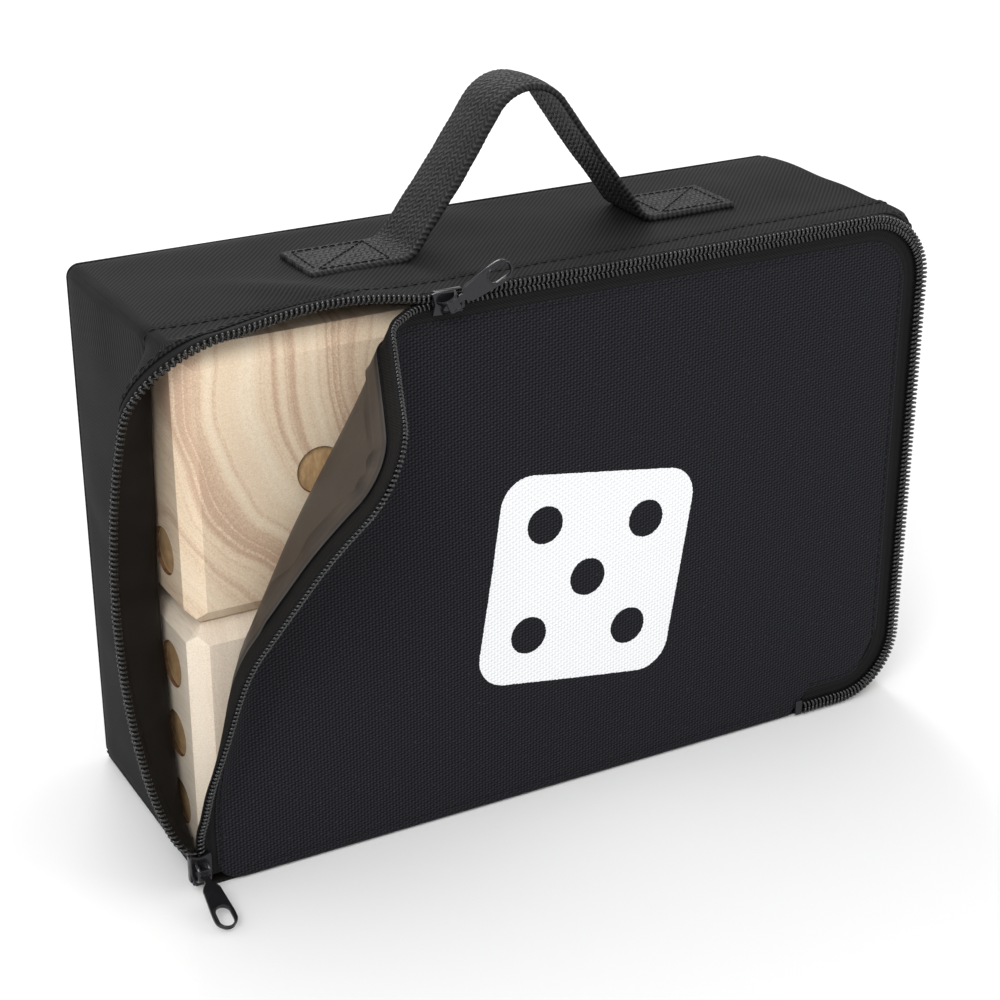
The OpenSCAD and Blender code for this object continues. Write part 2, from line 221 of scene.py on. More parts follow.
FLARE_POWER = 0.5      # below 1 the side edge flares sooner at its two ends

COIL_PITCH = 1.65
COIL_WIRE = 0.5        # radius of the coil's wire
COIL_ACROSS = 0.95     # half the width of its loops, at the wire's middle
COIL_HIGH = 0.72       # half their height
GUSSET_COIL_IN = 1.45  # from the zip's outline to the middle of each coil
FLAP_COIL_IN = 3.55

# The peeled corner turns about two lines on the front
crease = joints["crease_fold"]
corner = joints["corner_fold"]
FOLD_DIR = Vector((-crease["axis"][0], -crease["axis"][2]))
FOLD_OUT = Vector((FOLD_DIR[1], -FOLD_DIR[0]))
FOLD_AT = Vector((crease["pos_m"][0], crease["pos_m"][2])) / MM
FOLD_1 = 11.0          # distance over the cloth to the first fold, from where the rolled table starts
FOLD_2 = FOLD_1 + (Vector(corner["pos_m"]) - Vector(crease["pos_m"])).length / MM
FOLD_ANGLE = math.radians(-crease["range_deg"][0])
FOLD_HALF = 5.0        # half the length of cloth that bends at each fold
SPLIT = (FOLD_1 + FOLD_2) / 2


# ---------------------------------------------------------------- meshes

def link(ob):
    bpy.context.scene.collection.objects.link(ob)
    return ob


def mesh_object(name, points, faces, materials, uvs=None, face_slots=None, smooth=True):
    """A mesh from points in millimetres; uvs are one pair for each point, in millimetres."""
    me = bpy.data.meshes.new(name)
    me.from_pydata([Vector(p) * MM for p in points], [], faces)
    for m in materials:
        me.materials.append(m)
    if uvs:
        layer = me.uv_layers.new(name="flat_mm")
        for loop in me.loops:
            layer.data[loop.index].uv = uvs[loop.vertex_index]
    for i, poly in enumerate(me.polygons):
        poly.use_smooth = smooth
        if face_slots:
            poly.material_index = face_slots[i]
    me.update()
    return link(bpy.data.objects.new(name, me))


def grid_faces(rows, columns, start=0):
    faces = []
    for i in range(rows - 1):
        for j in range(columns - 1):
            a = start + i * columns + j
            faces.append((a, a + 1, a + columns + 1, a + columns))
    return faces


def solidify(ob, thickness, inner_slot=0):
    """Gives a sheet its thickness on the side its normals point away from."""
    m = ob.modifiers.new("thickness", "SOLIDIFY")
    m.thickness = thickness * MM
    m.offset = -1
    m.material_offset = inner_slot
    m.use_even_offset = False
    return ob


def grid_sheet(name, rows, columns, place, materials, thickness):
    """A sheet whose points and flat coordinates come from place(row, column)."""
    points, uvs = zip(*[place(row, column) for row in rows for column in columns])
    ob = mesh_object(name, points, grid_faces(len(rows), len(columns)), materials, uvs)
    return solidify(ob, thickness, inner_slot=len(materials) - 1)


def quarter_drop(share):
    """How far a quarter circle of radius 1 has dropped, share of the way along it."""
    return 1 - math.sqrt(max(0.0, 1 - share * share))


def stations(start, end, step):
    """Evenly spaced numbers from start to end, about step apart."""
    count = max(1, round((end - start) / step))
    return [start + (end - start) * i / count for i in range(count + 1)]


def clamp(t):
    return min(max(t, 0.0), 1.0)


def smooth_step(t):
    t = clamp(t)
    return t * t * (3 - 2 * t)


def ring_faces(rings, sides):
    """Faces between rings of points in a row, with a cap at each end."""
    faces = []
    for i in range(rings - 1):
        for k in range(sides):
            a, b = i * sides + k, i * sides + (k + 1) % sides
            faces.append((a, b, b + sides, a + sides))
    faces.append(tuple(reversed(range(sides))))
    faces.append(tuple((rings - 1) * sides + k for k in range(sides)))
    return faces


def tube(path, radius, sides=6):
    """(points, faces) of a round tube along a path, with closed ends."""
    points = []
    last = len(path) - 1
    side = (path[1] - path[0]).orthogonal()
    for i, p in enumerate(path):
        t = (path[min(i + 1, last)] - path[max(i - 1, 0)]).normalized()
        side = (side - side.dot(t) * t).normalized()
        up = t.cross(side)
        for k in range(sides):
            a = 2 * math.pi * k / sides
            points.append(p + radius * (math.cos(a) * side + math.sin(a) * up))
    return points, ring_faces(len(path), sides)


def joined(parts):
    """One (points, faces) from several."""
    points, faces = [], []
    for p, f in parts:
        base = len(points)
        points += list(p)
        faces += [tuple(base + i for i in face) for face in f]
    return points, faces


def rotation(degrees, axis):
    return Matrix.Rotation(math.radians(degrees), 4, axis)


def moved(part, matrix):
    return [matrix @ Vector(p) for p in part[0]], part[1]


def plate(loops, z0, z1, bevel):
    """(points, faces) of a plate with rounded edges; its first loop is the outline, the others are holes."""
    curve = bpy.data.curves.new("plate", "CURVE")
    curve.dimensions = "2D"
    curve.fill_mode = "BOTH"
    curve.extrude = (z1 - z0) / 2 - bevel
    curve.bevel_depth = bevel
    curve.bevel_resolution = 2
    curve.offset = -bevel
    for loop in loops:
        spline = curve.splines.new("POLY")
        spline.points.add(len(loop) - 1)
        for i, (x, y) in enumerate(loop):
            spline.points[i].co = (x, y, 0, 1)
        spline.use_cyclic_u = True
    ob = link(bpy.data.objects.new("plate", curve))
    bpy.context.view_layer.update()
    me = bpy.data.meshes.new_from_object(ob.evaluated_get(bpy.context.evaluated_depsgraph_get()))
    points = [v.co + Vector((0, 0, (z0 + z1) / 2)) for v in me.vertices]
    faces = [tuple(p.vertices) for p in me.polygons]
    bpy.data.objects.remove(ob)
    bpy.data.curves.remove(curve)
    bpy.data.meshes.remove(me)
    return points, faces


def arc(cx, cy, r, start, end, steps=10):
    return [
        (cx + r * math.cos(math.radians(start + (end - start) * i / steps)),
         cy + r * math.sin(math.radians(start + (end - start) * i / steps)))
        for i in range(steps + 1)
    ]


def rounded_rect(x0, y0, x1, y1, r):
    return (
        arc(x1 - r, y1 - r, r, 0, 90) + arc(x0 + r, y1 - r, r, 90, 180)
        + arc(x0 + r, y0 + r, r, 180, 270) + arc(x1 - r, y0 + r, r, 270, 360)
    )


# ---------------------------------------------------------------- materials

class Shader:
    """A Principled material whose nodes are added one by one."""

    def __init__(self, name, color=(0.5, 0.5, 0.5), roughness=0.5, **sockets):
        self.mat = bpy.data.materials.new(name)
        self.mat.use_nodes = True
        self.tree = self.mat.node_tree
        self.bsdf = self.tree.nodes["Principled BSDF"]
        self.bsdf.inputs["Base Color"].default_value = (*color, 1)
        self.bsdf.inputs["Roughness"].default_value = roughness
        for key, value in sockets.items():
            self.bsdf.inputs[key.replace("_", " ")].default_value = value

    def add(self, kind, **values):
        node = self.tree.nodes.new("ShaderNode" + kind)
        for key, value in values.items():
            setattr(node, key, value)
        return node

    def link(self, source, target):
        self.tree.links.new(source, target)

    def feed(self, node, *values):
        """Gives a node its inputs: a number or a tuple is set, an output is linked."""
        for socket, value in zip(node.inputs, values):
            if isinstance(value, (int, float, tuple)):
                socket.default_value = value
            else:
                self.link(value, socket)
        return node.outputs

    def math(self, operation, a, b):
        return self.feed(self.add("Math", operation=operation), a, b)[0]

    def vector(self, operation, *values):
        return self.feed(self.add("VectorMath", operation=operation), *values)

    def flat(self):
        """The piece's own flat coordinates, in millimetres."""
        return self.add("UVMap", uv_map="flat_mm").outputs[0]

    def solid(self):
        """Coordinates through the whole piece, in metres."""
        return self.add("TexCoord").outputs["Object"]

    def place(self, vector, scale=(1, 1, 1), turn=0.0, shift=(0, 0, 0)):
        node = self.add("Mapping")
        self.link(vector, node.inputs["Vector"])
        node.inputs["Location"].default_value = shift
        node.inputs["Rotation"].default_value = (0, 0, math.radians(turn))
        node.inputs["Scale"].default_value = scale
        return node.outputs[0]

    def noise(self, vector, scale, detail=2.0, roughness=0.5, output=0):
        node = self.add("TexNoise")
        self.link(vector, node.inputs["Vector"])
        node.inputs["Scale"].default_value = scale
        node.inputs["Detail"].default_value = detail
        node.inputs["Roughness"].default_value = roughness
        return node.outputs[output]

    def wave(self, vector, period, turn=0.0, distortion=0.0):
        """A sine of that period in millimetres, across the direction turned by turn degrees."""
        node = self.add("TexWave", wave_type="BANDS", bands_direction="X", wave_profile="SIN")
        self.link(self.place(vector, turn=turn), node.inputs["Vector"])
        node.inputs["Scale"].default_value = 2 * math.pi / (20 * period)
        node.inputs["Distortion"].default_value = distortion
        node.inputs["Detail"].default_value = 1
        node.inputs["Detail Scale"].default_value = 1.5
        return node.outputs[1]

    def ramp(self, value, *stops):
        node = self.add("ValToRGB")
        self.link(value, node.inputs[0])
        elements = node.color_ramp.elements
        while len(elements) < len(stops):
            elements.new(0.5)
        for element, (position, color) in zip(elements, stops):
            element.position = position
            element.color = (*color, 1) if len(color) == 3 else color
        return node.outputs[0]

    def mix(self, factor, a, b, blend="MIX"):
        node = self.add("Mix", data_type="RGBA", blend_type=blend)
        for socket, value in ((node.inputs[0], factor), (node.inputs[6], a), (node.inputs[7], b)):
            if isinstance(value, (int, float)):
                socket.default_value = value
            elif isinstance(value, tuple):
                socket.default_value = (*value, 1)
            else:
                self.link(value, socket)
        return node.outputs[2]

    def color(self, value):
        self.link(value, self.bsdf.inputs["Base Color"])

    def color_by(self, value, *stops):
        self.color(self.ramp(value, *stops))

    def rough_by(self, value, *stops):
        """Roughness from (position, roughness) stops."""
        tone = self.ramp(value, *[(position, (level,) * 3) for position, level in stops])
        self.link(tone, self.bsdf.inputs["Roughness"])

    def mixed(self, a, share_a, b, share_b):
        """Sum of two values, each times its share."""
        return self.math("ADD", self.math("MULTIPLY", a, share_a), self.math("MULTIPLY", b, share_b))

    def bump(self, height, strength, distance_mm):
        node = self.add("Bump")
        node.inputs["Strength"].default_value = strength
        node.inputs["Distance"].default_value = distance_mm * MM
        self.link(height, node.inputs["Height"])
        self.link(node.outputs[0], self.bsdf.inputs["Normal"])


def ribbed_cloth():
    """Black polyester of the case: a fine diagonal rib over a plain weave."""
    s = Shader("gusset_cloth", roughness=0.8, Specular_IOR_Level=0.14, Sheen_Weight=0.01, Sheen_Roughness=0.4)
    flat = s.flat()
    rib = s.wave(flat, 1.25, turn=38, distortion=0.5)
    cross = s.wave(flat, 0.75, turn=-52)
    weave = s.mixed(rib, 0.75, cross, 0.25)
    tone = s.ramp(weave, (0.15, (0.0012, 0.0012, 0.0014)), (0.95, (0.0190, 0.0187, 0.0198)))
    blotch = s.ramp(s.noise(flat, 0.05, 3), (0.3, (0.8, 0.8, 0.8)), (0.7, (1.15, 1.15, 1.15)))
    s.color(s.mix(1.0, tone, blotch, "MULTIPLY"))
    s.bump(weave, 0.5, 0.25)
    return s.mat


def print_mask(s, flat):
    """1 inside a plain die face, drawn as a rounded square with five round holes."""
    middle, half, corner_r, tilt = (4.0, 78.0), 37.0, 11.0, 9
    pip_r, pip_off = 6.6, 19.5
    local = s.place(flat, shift=(-middle[0], -middle[1], 0))
    turned = s.place(local, turn=tilt)
    absolute = s.vector("ABSOLUTE", turned)[0]
    straight = half - corner_r
    past = s.vector("MAXIMUM", s.vector("SUBTRACT", absolute, (straight, straight, 0))[0], (0, 0, 0))[0]
    wobble = s.math("MULTIPLY", s.math("SUBTRACT", s.noise(flat, 1.3, 2), 0.5), 0.7)
    square = s.math("LESS_THAN", s.math("ADD", s.vector("LENGTH", past)["Value"], wobble), corner_r)
    to_corner_pip = s.vector("DISTANCE", absolute, (pip_off, pip_off, 0))["Value"]
    to_middle_pip = s.vector("DISTANCE", turned, (0, 0, 0))["Value"]
    pips = s.math("MINIMUM", to_corner_pip, to_middle_pip)
    holes = s.math("GREATER_THAN", s.math("ADD", pips, wobble), pip_r)
    return s.math("MULTIPLY", square, holes)


def flap_cloth(with_print):
    """Bluish charcoal plain weave with tiny light flecks, and the white print."""
    s = Shader("flap_print_cloth" if with_print else "flap_cloth",
               roughness=0.82, Specular_IOR_Level=0.14, Sheen_Weight=0.01, Sheen_Roughness=0.5)
    flat = s.flat()
    across = s.wave(flat, 1.15, turn=0, distortion=0.4)
    along = s.wave(flat, 1.0, turn=90, distortion=0.4)
    slant = s.wave(flat, 1.5, turn=60)
    knots = s.math("MULTIPLY", across, along)
    weave = s.mixed(knots, 0.7, slant, 0.3)
    tone = s.ramp(weave, (0.05, (0.0012, 0.0012, 0.0018)), (0.8, (0.0215, 0.0220, 0.0285)))
    flecks = s.ramp(s.noise(flat, 1.1, 1), (0.66, (0, 0, 0)), (0.78, (0.030, 0.032, 0.040)))
    tone = s.mix(0.6, tone, flecks, "ADD")
    if with_print:
        ink = s.ramp(weave, (0.0, (0.62, 0.63, 0.65)), (0.6, (0.86, 0.87, 0.88)))
        tone = s.mix(print_mask(s, flat), tone, ink)
    s.color(tone)
    s.bump(weave, 0.45, 0.22)
    return s.mat


def lining():
    """Warm grey coating on the inside of the flap."""
    s = Shader("lining", roughness=0.45, Specular_IOR_Level=0.35, Coat_Weight=0.06, Coat_Roughness=0.35)
    flat = s.flat()
    s.color_by(s.noise(flat, 0.06, 3), (0.3, (0.027, 0.022, 0.019)), (0.75, (0.042, 0.035, 0.031)))
    s.bump(s.noise(flat, 0.35, 2), 0.12, 0.4)
    return s.mat


def inner_coat():
    """Dark brown-black inside of the case."""
    s = Shader("inner_coat", roughness=0.6, Specular_IOR_Level=0.15)
    flat = s.flat()
    s.color_by(s.noise(flat, 0.08, 2), (0.3, (0.006, 0.005, 0.0045)), (0.7, (0.011, 0.009, 0.008)))
    s.bump(s.noise(flat, 0.5, 2), 0.15, 0.3)
    return s.mat


def tape_cloth():
    """Zip tape: a fine twill, a little lighter and warmer than the case."""
    s = Shader("zip_tape", roughness=0.75, Specular_IOR_Level=0.14)
    flat = s.flat()
    twill = s.wave(flat, 0.8, turn=55)
    ridge = s.wave(flat, 2.3, turn=90)
    both = s.mixed(twill, 0.7, ridge, 0.3)
    s.color_by(both, (0.1, (0.0012, 0.0012, 0.0013)), (0.9, (0.0090, 0.0090, 0.0095)))
    s.bump(both, 0.4, 0.15)
    return s.mat


def coil_plastic():
    s = Shader("coil", color=(0.006, 0.006, 0.006), roughness=0.22, Specular_IOR_Level=0.6)
    s.rough_by(s.noise(s.solid(), 700, 1), (0.3, 0.16), (0.7, 0.34))
    return s.mat


def thread():
    s = Shader("thread", color=(0.004, 0.004, 0.0045), roughness=0.5, Specular_IOR_Level=0.2)
    s.bump(s.noise(s.solid(), 5000, 1), 0.3, 0.05)
    return s.mat


def webbing():
    """Coarse black webbing: short slanted bundles in rows, every second row slanted the other way."""
    s = Shader("webbing", roughness=0.6, Specular_IOR_Level=0.25, Sheen_Weight=0.01)
    flat = s.flat()
    left = s.wave(flat, 1.55, turn=38, distortion=1.2)
    right = s.wave(flat, 1.55, turn=-38, distortion=1.2)
    rows = s.wave(flat, 4.1, turn=90)
    pick = s.ramp(rows, (0.46, (0, 0, 0)), (0.54, (1, 1, 1)))
    slanted = s.mix(pick, left, right)
    gaps = s.wave(flat, 2.05, turn=90)
    height = s.math("MULTIPLY", slanted, s.math("ADD", s.math("MULTIPLY", gaps, 0.5), 0.5))
    rough_yarn = s.noise(flat, 1.6, 2)
    height = s.math("ADD", height, s.math("MULTIPLY", rough_yarn, 0.35))
    s.color_by(height, (0.25, (0.002, 0.002, 0.002)), (1.0, (0.032, 0.031, 0.032)))
    s.bump(height, 0.9, 0.6)
    return s.mat


def slider_metal():
    s = Shader("slider_metal", color=(0.028, 0.028, 0.031), roughness=0.25, Metallic=0.7)
    coords = s.solid()
    s.rough_by(s.noise(coords, 260, 2), (0.3, 0.12), (0.75, 0.32))
    s.bump(s.noise(coords, 900, 2), 0.08, 0.05)
    return s.mat


WOOD_TONES = (0.80, 0.70, 0.56), (0.74, 0.61, 0.46), (0.53, 0.37, 0.27)


def wood(name, middle, heart, ring, straight, tint, seed, depth=1.0):
    """Sanded softwood. Growth rings are circles about an axis through heart, a point in (x, z) beside the
    die's middle; ring is their spacing, straight squeezes them into straight grain, and depth is how dark
    they are."""
    s = Shader(name, roughness=0.55, Specular_IOR_Level=0.35)
    coords = s.solid()
    local = s.place(coords, scale=(1000, 1000, 1000), shift=tuple(-1000 * c for c in middle))
    warp = s.noise(local, 0.018, 2, output="Color")
    warped = s.vector("MULTIPLY_ADD", warp, (16, 16, 16), local)[0]
    squeezed = s.place(warped, scale=(1, 0.06, straight), shift=(-heart[0], seed, -heart[1] * straight))
    radius = s.vector("LENGTH", squeezed)["Value"]
    line = s.feed(s.add("CombineXYZ"), s.math("MULTIPLY", radius, 1.0 / ring), seed)[0]
    broad = s.noise(line, 0.55, 2, 0.6)
    fine = s.noise(line, 2.6, 3, 0.65)
    bands = s.mixed(broad, 0.7, fine, 0.42)
    grain = s.noise(s.place(local, scale=(2.6, 0.12, 2.6)), 1.0, 3, 0.6)
    speckle = s.noise(local, 1.9, 2, 0.7)
    bands = s.math("ADD", bands, s.math("MULTIPLY", s.math("SUBTRACT", speckle, 0.5), 0.16))
    pale, cream, brown = (tuple(c * t for c, t in zip(tone, tint)) for tone in WOOD_TONES)
    cream, brown = (tuple(p + (c - p) * depth for p, c in zip(pale, tone)) for tone in (cream, brown))
    tone = s.ramp(bands, (0.42, pale), (0.56, cream), (0.66, brown), (0.72, cream), (0.86, pale))
    dots = s.ramp(grain, (0.3, (0.86, 0.84, 0.82)), (0.62, (1.04, 1.04, 1.04)))
    s.color(s.mix(1.0, tone, dots, "MULTIPLY"))
    s.rough_by(grain, (0.3, 0.62), (0.7, 0.48))
    s.bump(s.math("ADD", grain, s.math("MULTIPLY", bands, 0.5)), 0.12, 0.2)
    return s.mat


def pip_paint():
    s = Shader("pip_paint", roughness=0.6)
    local = s.place(s.solid(), scale=(1000, 1000, 1000))
    streaks = s.noise(s.place(local, scale=(0.9, 0.2, 0.25)), 1.0, 3, 0.6)
    s.color_by(streaks, (0.3, (0.40, 0.235, 0.11)), (0.7, (0.60, 0.40, 0.205)))
    s.bump(streaks, 0.2, 0.2)
    return s.mat


def painted_rim_shade():
    # Dark brown for the wall of each pip's recess: painted shade of the recess
    s = Shader("pip_rim", color=(0.10, 0.045, 0.015), roughness=0.7)
    s.color_by(s.noise(s.solid(), 600, 2), (0.3, (0.07, 0.03, 0.01)), (0.7, (0.2, 0.1, 0.04)))
    return s.mat


def floor_paint():
    s = Shader("floor", color=(0.9, 0.9, 0.9), roughness=0.8)
    s.color_by(s.noise(s.solid(), 2, 2), (0.3, (0.89,) * 3), (0.7, (0.91,) * 3))
    return s.mat


CLOTH = ribbed_cloth()
FLAP_PRINT = flap_cloth(True)
FLAP_PLAIN = flap_cloth(False)
LINING = lining()
INNER = inner_coat()
TAPE = tape_cloth()
COIL = coil_plastic()
THREAD = thread()
WEBBING = webbing()
METAL = slider_metal()
PIP = pip_paint()
# The pips' rim walls take a dark brown painted shade
RIM_SHADE = painted_rim_shade()


# ---------------------------------------------------------------- the front's outline

class Edge:
    """The zip's path round the front, by distance u from its start low on the left side."""

    def __init__(self):
        self.stretches = []
        top, right, left = ZIP_TOP, ZIP_RIGHT, ZIP_LEFT
        self.line((left, ZIP_START_Z), (left, top - ZIP_R), (-1, 0))
        self.turn((left + ZIP_R, top - ZIP_R), 180, 90)
        self.line((left + ZIP_R, top), (right - ZIP_R, top), (0, 1))
        self.turn((right - ZIP_R, top - ZIP_R), 90, 0)
        self.line((right, top - ZIP_R), (right, ZIP_BOTTOM + ZIP_R), (1, 0))
        self.turn((right - ZIP_R, ZIP_BOTTOM + ZIP_R), 0, -90)
        self.line((right - ZIP_R, ZIP_BOTTOM), (ZIP_END_X, ZIP_BOTTOM), (0, -1))
        self.length = sum(s[0] for s in self.stretches)

    def line(self, a, b, normal):
        a, b = Vector(a), Vector(b)
        self.stretches.append(((b - a).length, "line", a, b, Vector(normal)))

    def turn(self, middle, a0, a1):
        length = ZIP_R * math.radians(abs(a1 - a0))
        self.stretches.append((length, "turn", Vector(middle), a0, a1))

    def at(self, u, inset=0.0):
        """(point, outward normal, number of the stretch)."""
        for i, (length, kind, a, b, c) in enumerate(self.stretches):
            if u <= length or i == len(self.stretches) - 1:
                f = clamp(u / length)
                if kind == "line":
                    return a + (b - a) * f - c * inset, c, i
                angle = math.radians(b + (c - b) * f)
                normal = Vector((math.cos(angle), math.sin(angle)))
                return a + normal * (ZIP_R - inset), normal, i
            u -= length


edge = Edge()
LEFT_SIDE, TOP_LEFT, TOP_SIDE, TOP_RIGHT, RIGHT_SIDE, LOW_RIGHT, LOW_SIDE = range(7)


def flare_at(u):
    """Share of the open side edge's flare, and of the open top edge's lift, at u."""
    point, normal, i = edge.at(u)
    if i in (LEFT_SIDE, TOP_LEFT):
        share = clamp((point[1] - FLARE_START) / (ZIP_TOP - FLARE_START))
        return -normal[0] * math.sin(math.pi * share) ** FLARE_POWER, 0.0
    if i == TOP_SIDE and point[0] < LIFT_END:
        x0 = ZIP_LEFT + ZIP_R
        return 0.0, math.sin(math.pi * (point[0] - x0) / (LIFT_END - x0))
    return 0.0, 0.0


def rim(u, inset=0.0):
    """A point of the gusset's front edge: (x, y, z)."""
    point = edge.at(u, inset)[0]
    side, lift = flare_at(u)
    return Vector((point[0] - SIDE_FLARE * side, FRONT_Y + SIDE_BACK * side, point[1] + TOP_LIFT * lift))


def body_point(u):
    """The case's own outline beside the zip at u, as (x, z)."""
    (x, z), normal, i = edge.at(u)
    if i in (TOP_LEFT, TOP_RIGHT, LOW_RIGHT):
        cx = math.copysign(CASE_X - BODY_R, normal[0] if abs(normal[0]) > 1e-6 else x)
        cz = BODY_R if i == LOW_RIGHT else CASE_TOP - BODY_R
        return Vector((cx, cz)) + normal * BODY_R
    if i == LEFT_SIDE:
        return Vector((-CASE_X, min(z, CASE_TOP - BODY_R)))
    if i == RIGHT_SIDE:
        return Vector((CASE_X, min(max(z, BODY_R), CASE_TOP - BODY_R)))
    reach = CASE_X - BODY_R
    x0, x1 = ZIP_LEFT + ZIP_R, ZIP_RIGHT - ZIP_R
    if i == TOP_SIDE:
        return Vector((-reach + 2 * reach * (x - x0) / (x1 - x0), CASE_TOP))
    return Vector((ZIP_END_X + (reach - ZIP_END_X) * (x - ZIP_END_X) / (x1 - ZIP_END_X), 0.0))


def side_point(u, depth, out=0.0):
    """A point of the case's sides, depth behind the front edge and out of the surface by out."""
    front = rim(u)
    body = body_point(u)
    normal = edge.at(u)[1]
    side, lift = flare_at(u)
    reach = 12 + 14 * side + 6 * lift
    flared = 1 - smooth_step(depth / reach)
    x = body[0] + (front[0] - body[0]) * flared
    z = body[1] + (front[2] - body[1]) * flared
    y = FRONT_Y + (front[1] - FRONT_Y) * flared + depth
    return Vector((x + out * normal[0], y, z + out * normal[1]))


# ---------------------------------------------------------------- the peeled corner

ROLL_STEP = 0.25


def roll_angle(s):
    """How far the cloth has turned outwards at distance s over the folds."""
    turned = smooth_step((s - FOLD_1 + FOLD_HALF) / (2 * FOLD_HALF))
    turned += smooth_step((s - FOLD_2 + FOLD_HALF) / (2 * FOLD_HALF))
    return FOLD_ANGLE * turned


def roll_table():
    """Where the cloth gets to by distance s over the folds: (across, outwards)."""
    rows = [(0.0, 0.0)]
    for i in range(int(110 / ROLL_STEP)):
        a = roll_angle((i + 0.5) * ROLL_STEP)
        rows.append((rows[-1][0] + math.cos(a) * ROLL_STEP, rows[-1][1] + math.sin(a) * ROLL_STEP))
    return rows


ROLL = roll_table()


# The front's points by distance along the folds and by distance over them

def across_fold(x, z):
    return (Vector((x, z)) - FOLD_AT).dot(FOLD_OUT) + FOLD_1


def along_fold(x, z):
    return (Vector((x, z)) - FOLD_AT).dot(FOLD_DIR)


def from_fold(along, across):
    return FOLD_AT + along * FOLD_DIR + (across - FOLD_1) * FOLD_OUT


# How much sooner the cloth starts to roll, by distance along the open stretch from its top
SOONER = [(30, 0.0), (85, -3.5), (115, -3.5), (168, 5.0), (178, 5.0), (198, 0.0)]


def sooner(along):
    for (a, v), (b, w) in zip(SOONER, SOONER[1:]):
        if a < along <= b:
            return v + (w - v) * smooth_step((along - a) / (b - a))
    return 0.0


def peel(x, z, out=0.0):
    """Where a point of the flat front goes when the corner is peeled; out is its height over the cloth."""
    shift = sooner(along_fold(x, z))
    s = across_fold(x, z) + shift
    if s <= 0:
        return Vector((x, FRONT_Y - out, z))
    k = min(s / ROLL_STEP, len(ROLL) - 2)
    i = int(k)
    p = ROLL[i][0] + (ROLL[i + 1][0] - ROLL[i][0]) * (k - i)
    q = ROLL[i][1] + (ROLL[i + 1][1] - ROLL[i][1]) * (k - i)
    a = roll_angle(s)
    flat = from_fold(along_fold(x, z), p - shift - out * math.sin(a))
    return Vector((flat[0], FRONT_Y - q - out * math.cos(a), flat[1]))


def peeled(u, inset, out):
    """Where a point of the flap goes: station u along the zip, inset from the outline, out over the cloth."""
    return peel(*edge.at(u, inset)[0], out)


def fold_points(fold):
    """Start and end of the bend at a fold, in metres."""
    return [peel(*from_fold(0, s)) * MM for s in (fold - FOLD_HALF, fold + FOLD_HALF)]


def on_flap(ob, before_split):
    """Lets a piece of the flap bend: the main part at the first fold, the corner at the second."""
    if before_split:
        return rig.blend(ob, "flap", "flap_crease", *fold_points(FOLD_1))
    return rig.blend(ob, "flap_crease", "flap_corner", *fold_points(FOLD_2))


# ---------------------------------------------------------------- the flap's cloth

def inside_cloth(x, z, inset):
    x0, x1, z0, z1 = ZIP_LEFT + inset, ZIP_RIGHT - inset, ZIP_BOTTOM + inset, ZIP_TOP - inset
    if x0 <= x <= ZIP_END_X - 4 and ZIP_BOTTOM <= z <= 40:
        cx, cz = x0 + CLOTH_LOW_R, ZIP_BOTTOM + CLOTH_LOW_R
        return x > cx or z > cz or (x - cx) ** 2 + (z - cz) ** 2 <= CLOTH_LOW_R ** 2
    if not (x0 <= x <= x1 and z0 <= z <= z1):
        return False
    r = ZIP_R - inset
    for cx, cz, sx, sz in ((x0 + r, z1 - r, -1, 1), (x1 - r, z1 - r, 1, 1), (x1 - r, z0 + r, 1, -1)):
        if (x - cx) * sx > 0 and (z - cz) * sz > 0:
            return (x - cx) ** 2 + (z - cz) ** 2 <= r * r
    return True


ROW_REACH = range(-120, 330)     # distances along the folds that take in the whole front
CLOTH_T = 0.9


def cloth_row(s, inset):
    """(first, last) distance along the folds where the row at s is on the cloth, or None."""
    def hit(a):
        return inside_cloth(*from_fold(a, s), inset)

    steps = [a for a in ROW_REACH if hit(a)]
    if not steps:
        return None
    ends = []
    for inner, outer in ((steps[0], steps[0] - 1.0), (steps[-1], steps[-1] + 1.0)):
        for _ in range(14):
            middle = (inner + outer) / 2
            if hit(middle):
                inner = middle
            else:
                outer = middle
        ends.append(inner)
    return ends


def ripple(x, z):
    """Soft unevenness of the flap's cloth, in millimetres outwards."""
    value = noise.noise(Vector((x / 34, z / 27, 0.3))) * 0.9
    value += noise.noise(Vector((x / 90, z / 80, 7.1))) * 1.3
    diagonal = math.sin((x * 0.55 - z) / 21) * 0.25
    edge_share = min(1.0, max(0.0, min(x - ZIP_LEFT, ZIP_RIGHT - x, ZIP_TOP - z, z) - 6) / 22)
    # At most half a millimetre each way, so that the open flap doesn't sink into the ground
    return (0.1 + 0.5 * math.tanh(value + diagonal)) * edge_share


def cloth_sheet(name, rows, outer_material):
    """The flap's cloth between two distances over the folds, with its edge folded in."""
    margin = [0.0, 0.35, 0.9, 1.8, 3.0]
    spans = 74
    points, uvs = [], []
    used = 0
    for s in rows:
        ends = cloth_row(s, CLOTH_IN)
        if ends is None or ends[1] - ends[0] < 8:
            continue
        a0, a1 = ends
        inner = a1 - a0 - 2 * margin[-1]
        places = [a0 + m for m in margin]
        places += [a0 + margin[-1] + inner * i / spans for i in range(1, spans)]
        places += [a1 - m for m in reversed(margin)]
        for a in places:
            x, z = from_fold(a, s)
            gap = min(a - a0, a1 - a)
            fold_edge = 0.45 * (1 - quarter_drop(1 - min(gap / 1.2, 1))) - 0.1
            points.append(peel(x, z, fold_edge + ripple(x, z) * (1 if s < 2 else 0.35)))
            uvs.append((x, z))
        used += 1
    faces = grid_faces(used, len(points) // used)
    ob = mesh_object(name, points, faces, [outer_material, LINING], uvs)
    flip_to(ob, Vector((0, -1, 0)), 0)
    ob["flat_area_mm2"] = sum(quad_area([Vector(uvs[i]) for i in face]) for face in faces)
    return solidify(ob, CLOTH_T, inner_slot=1)


def quad_area(corners):
    d1, d2 = corners[2] - corners[0], corners[3] - corners[1]
    return abs(d1.cross(d2)) / 2


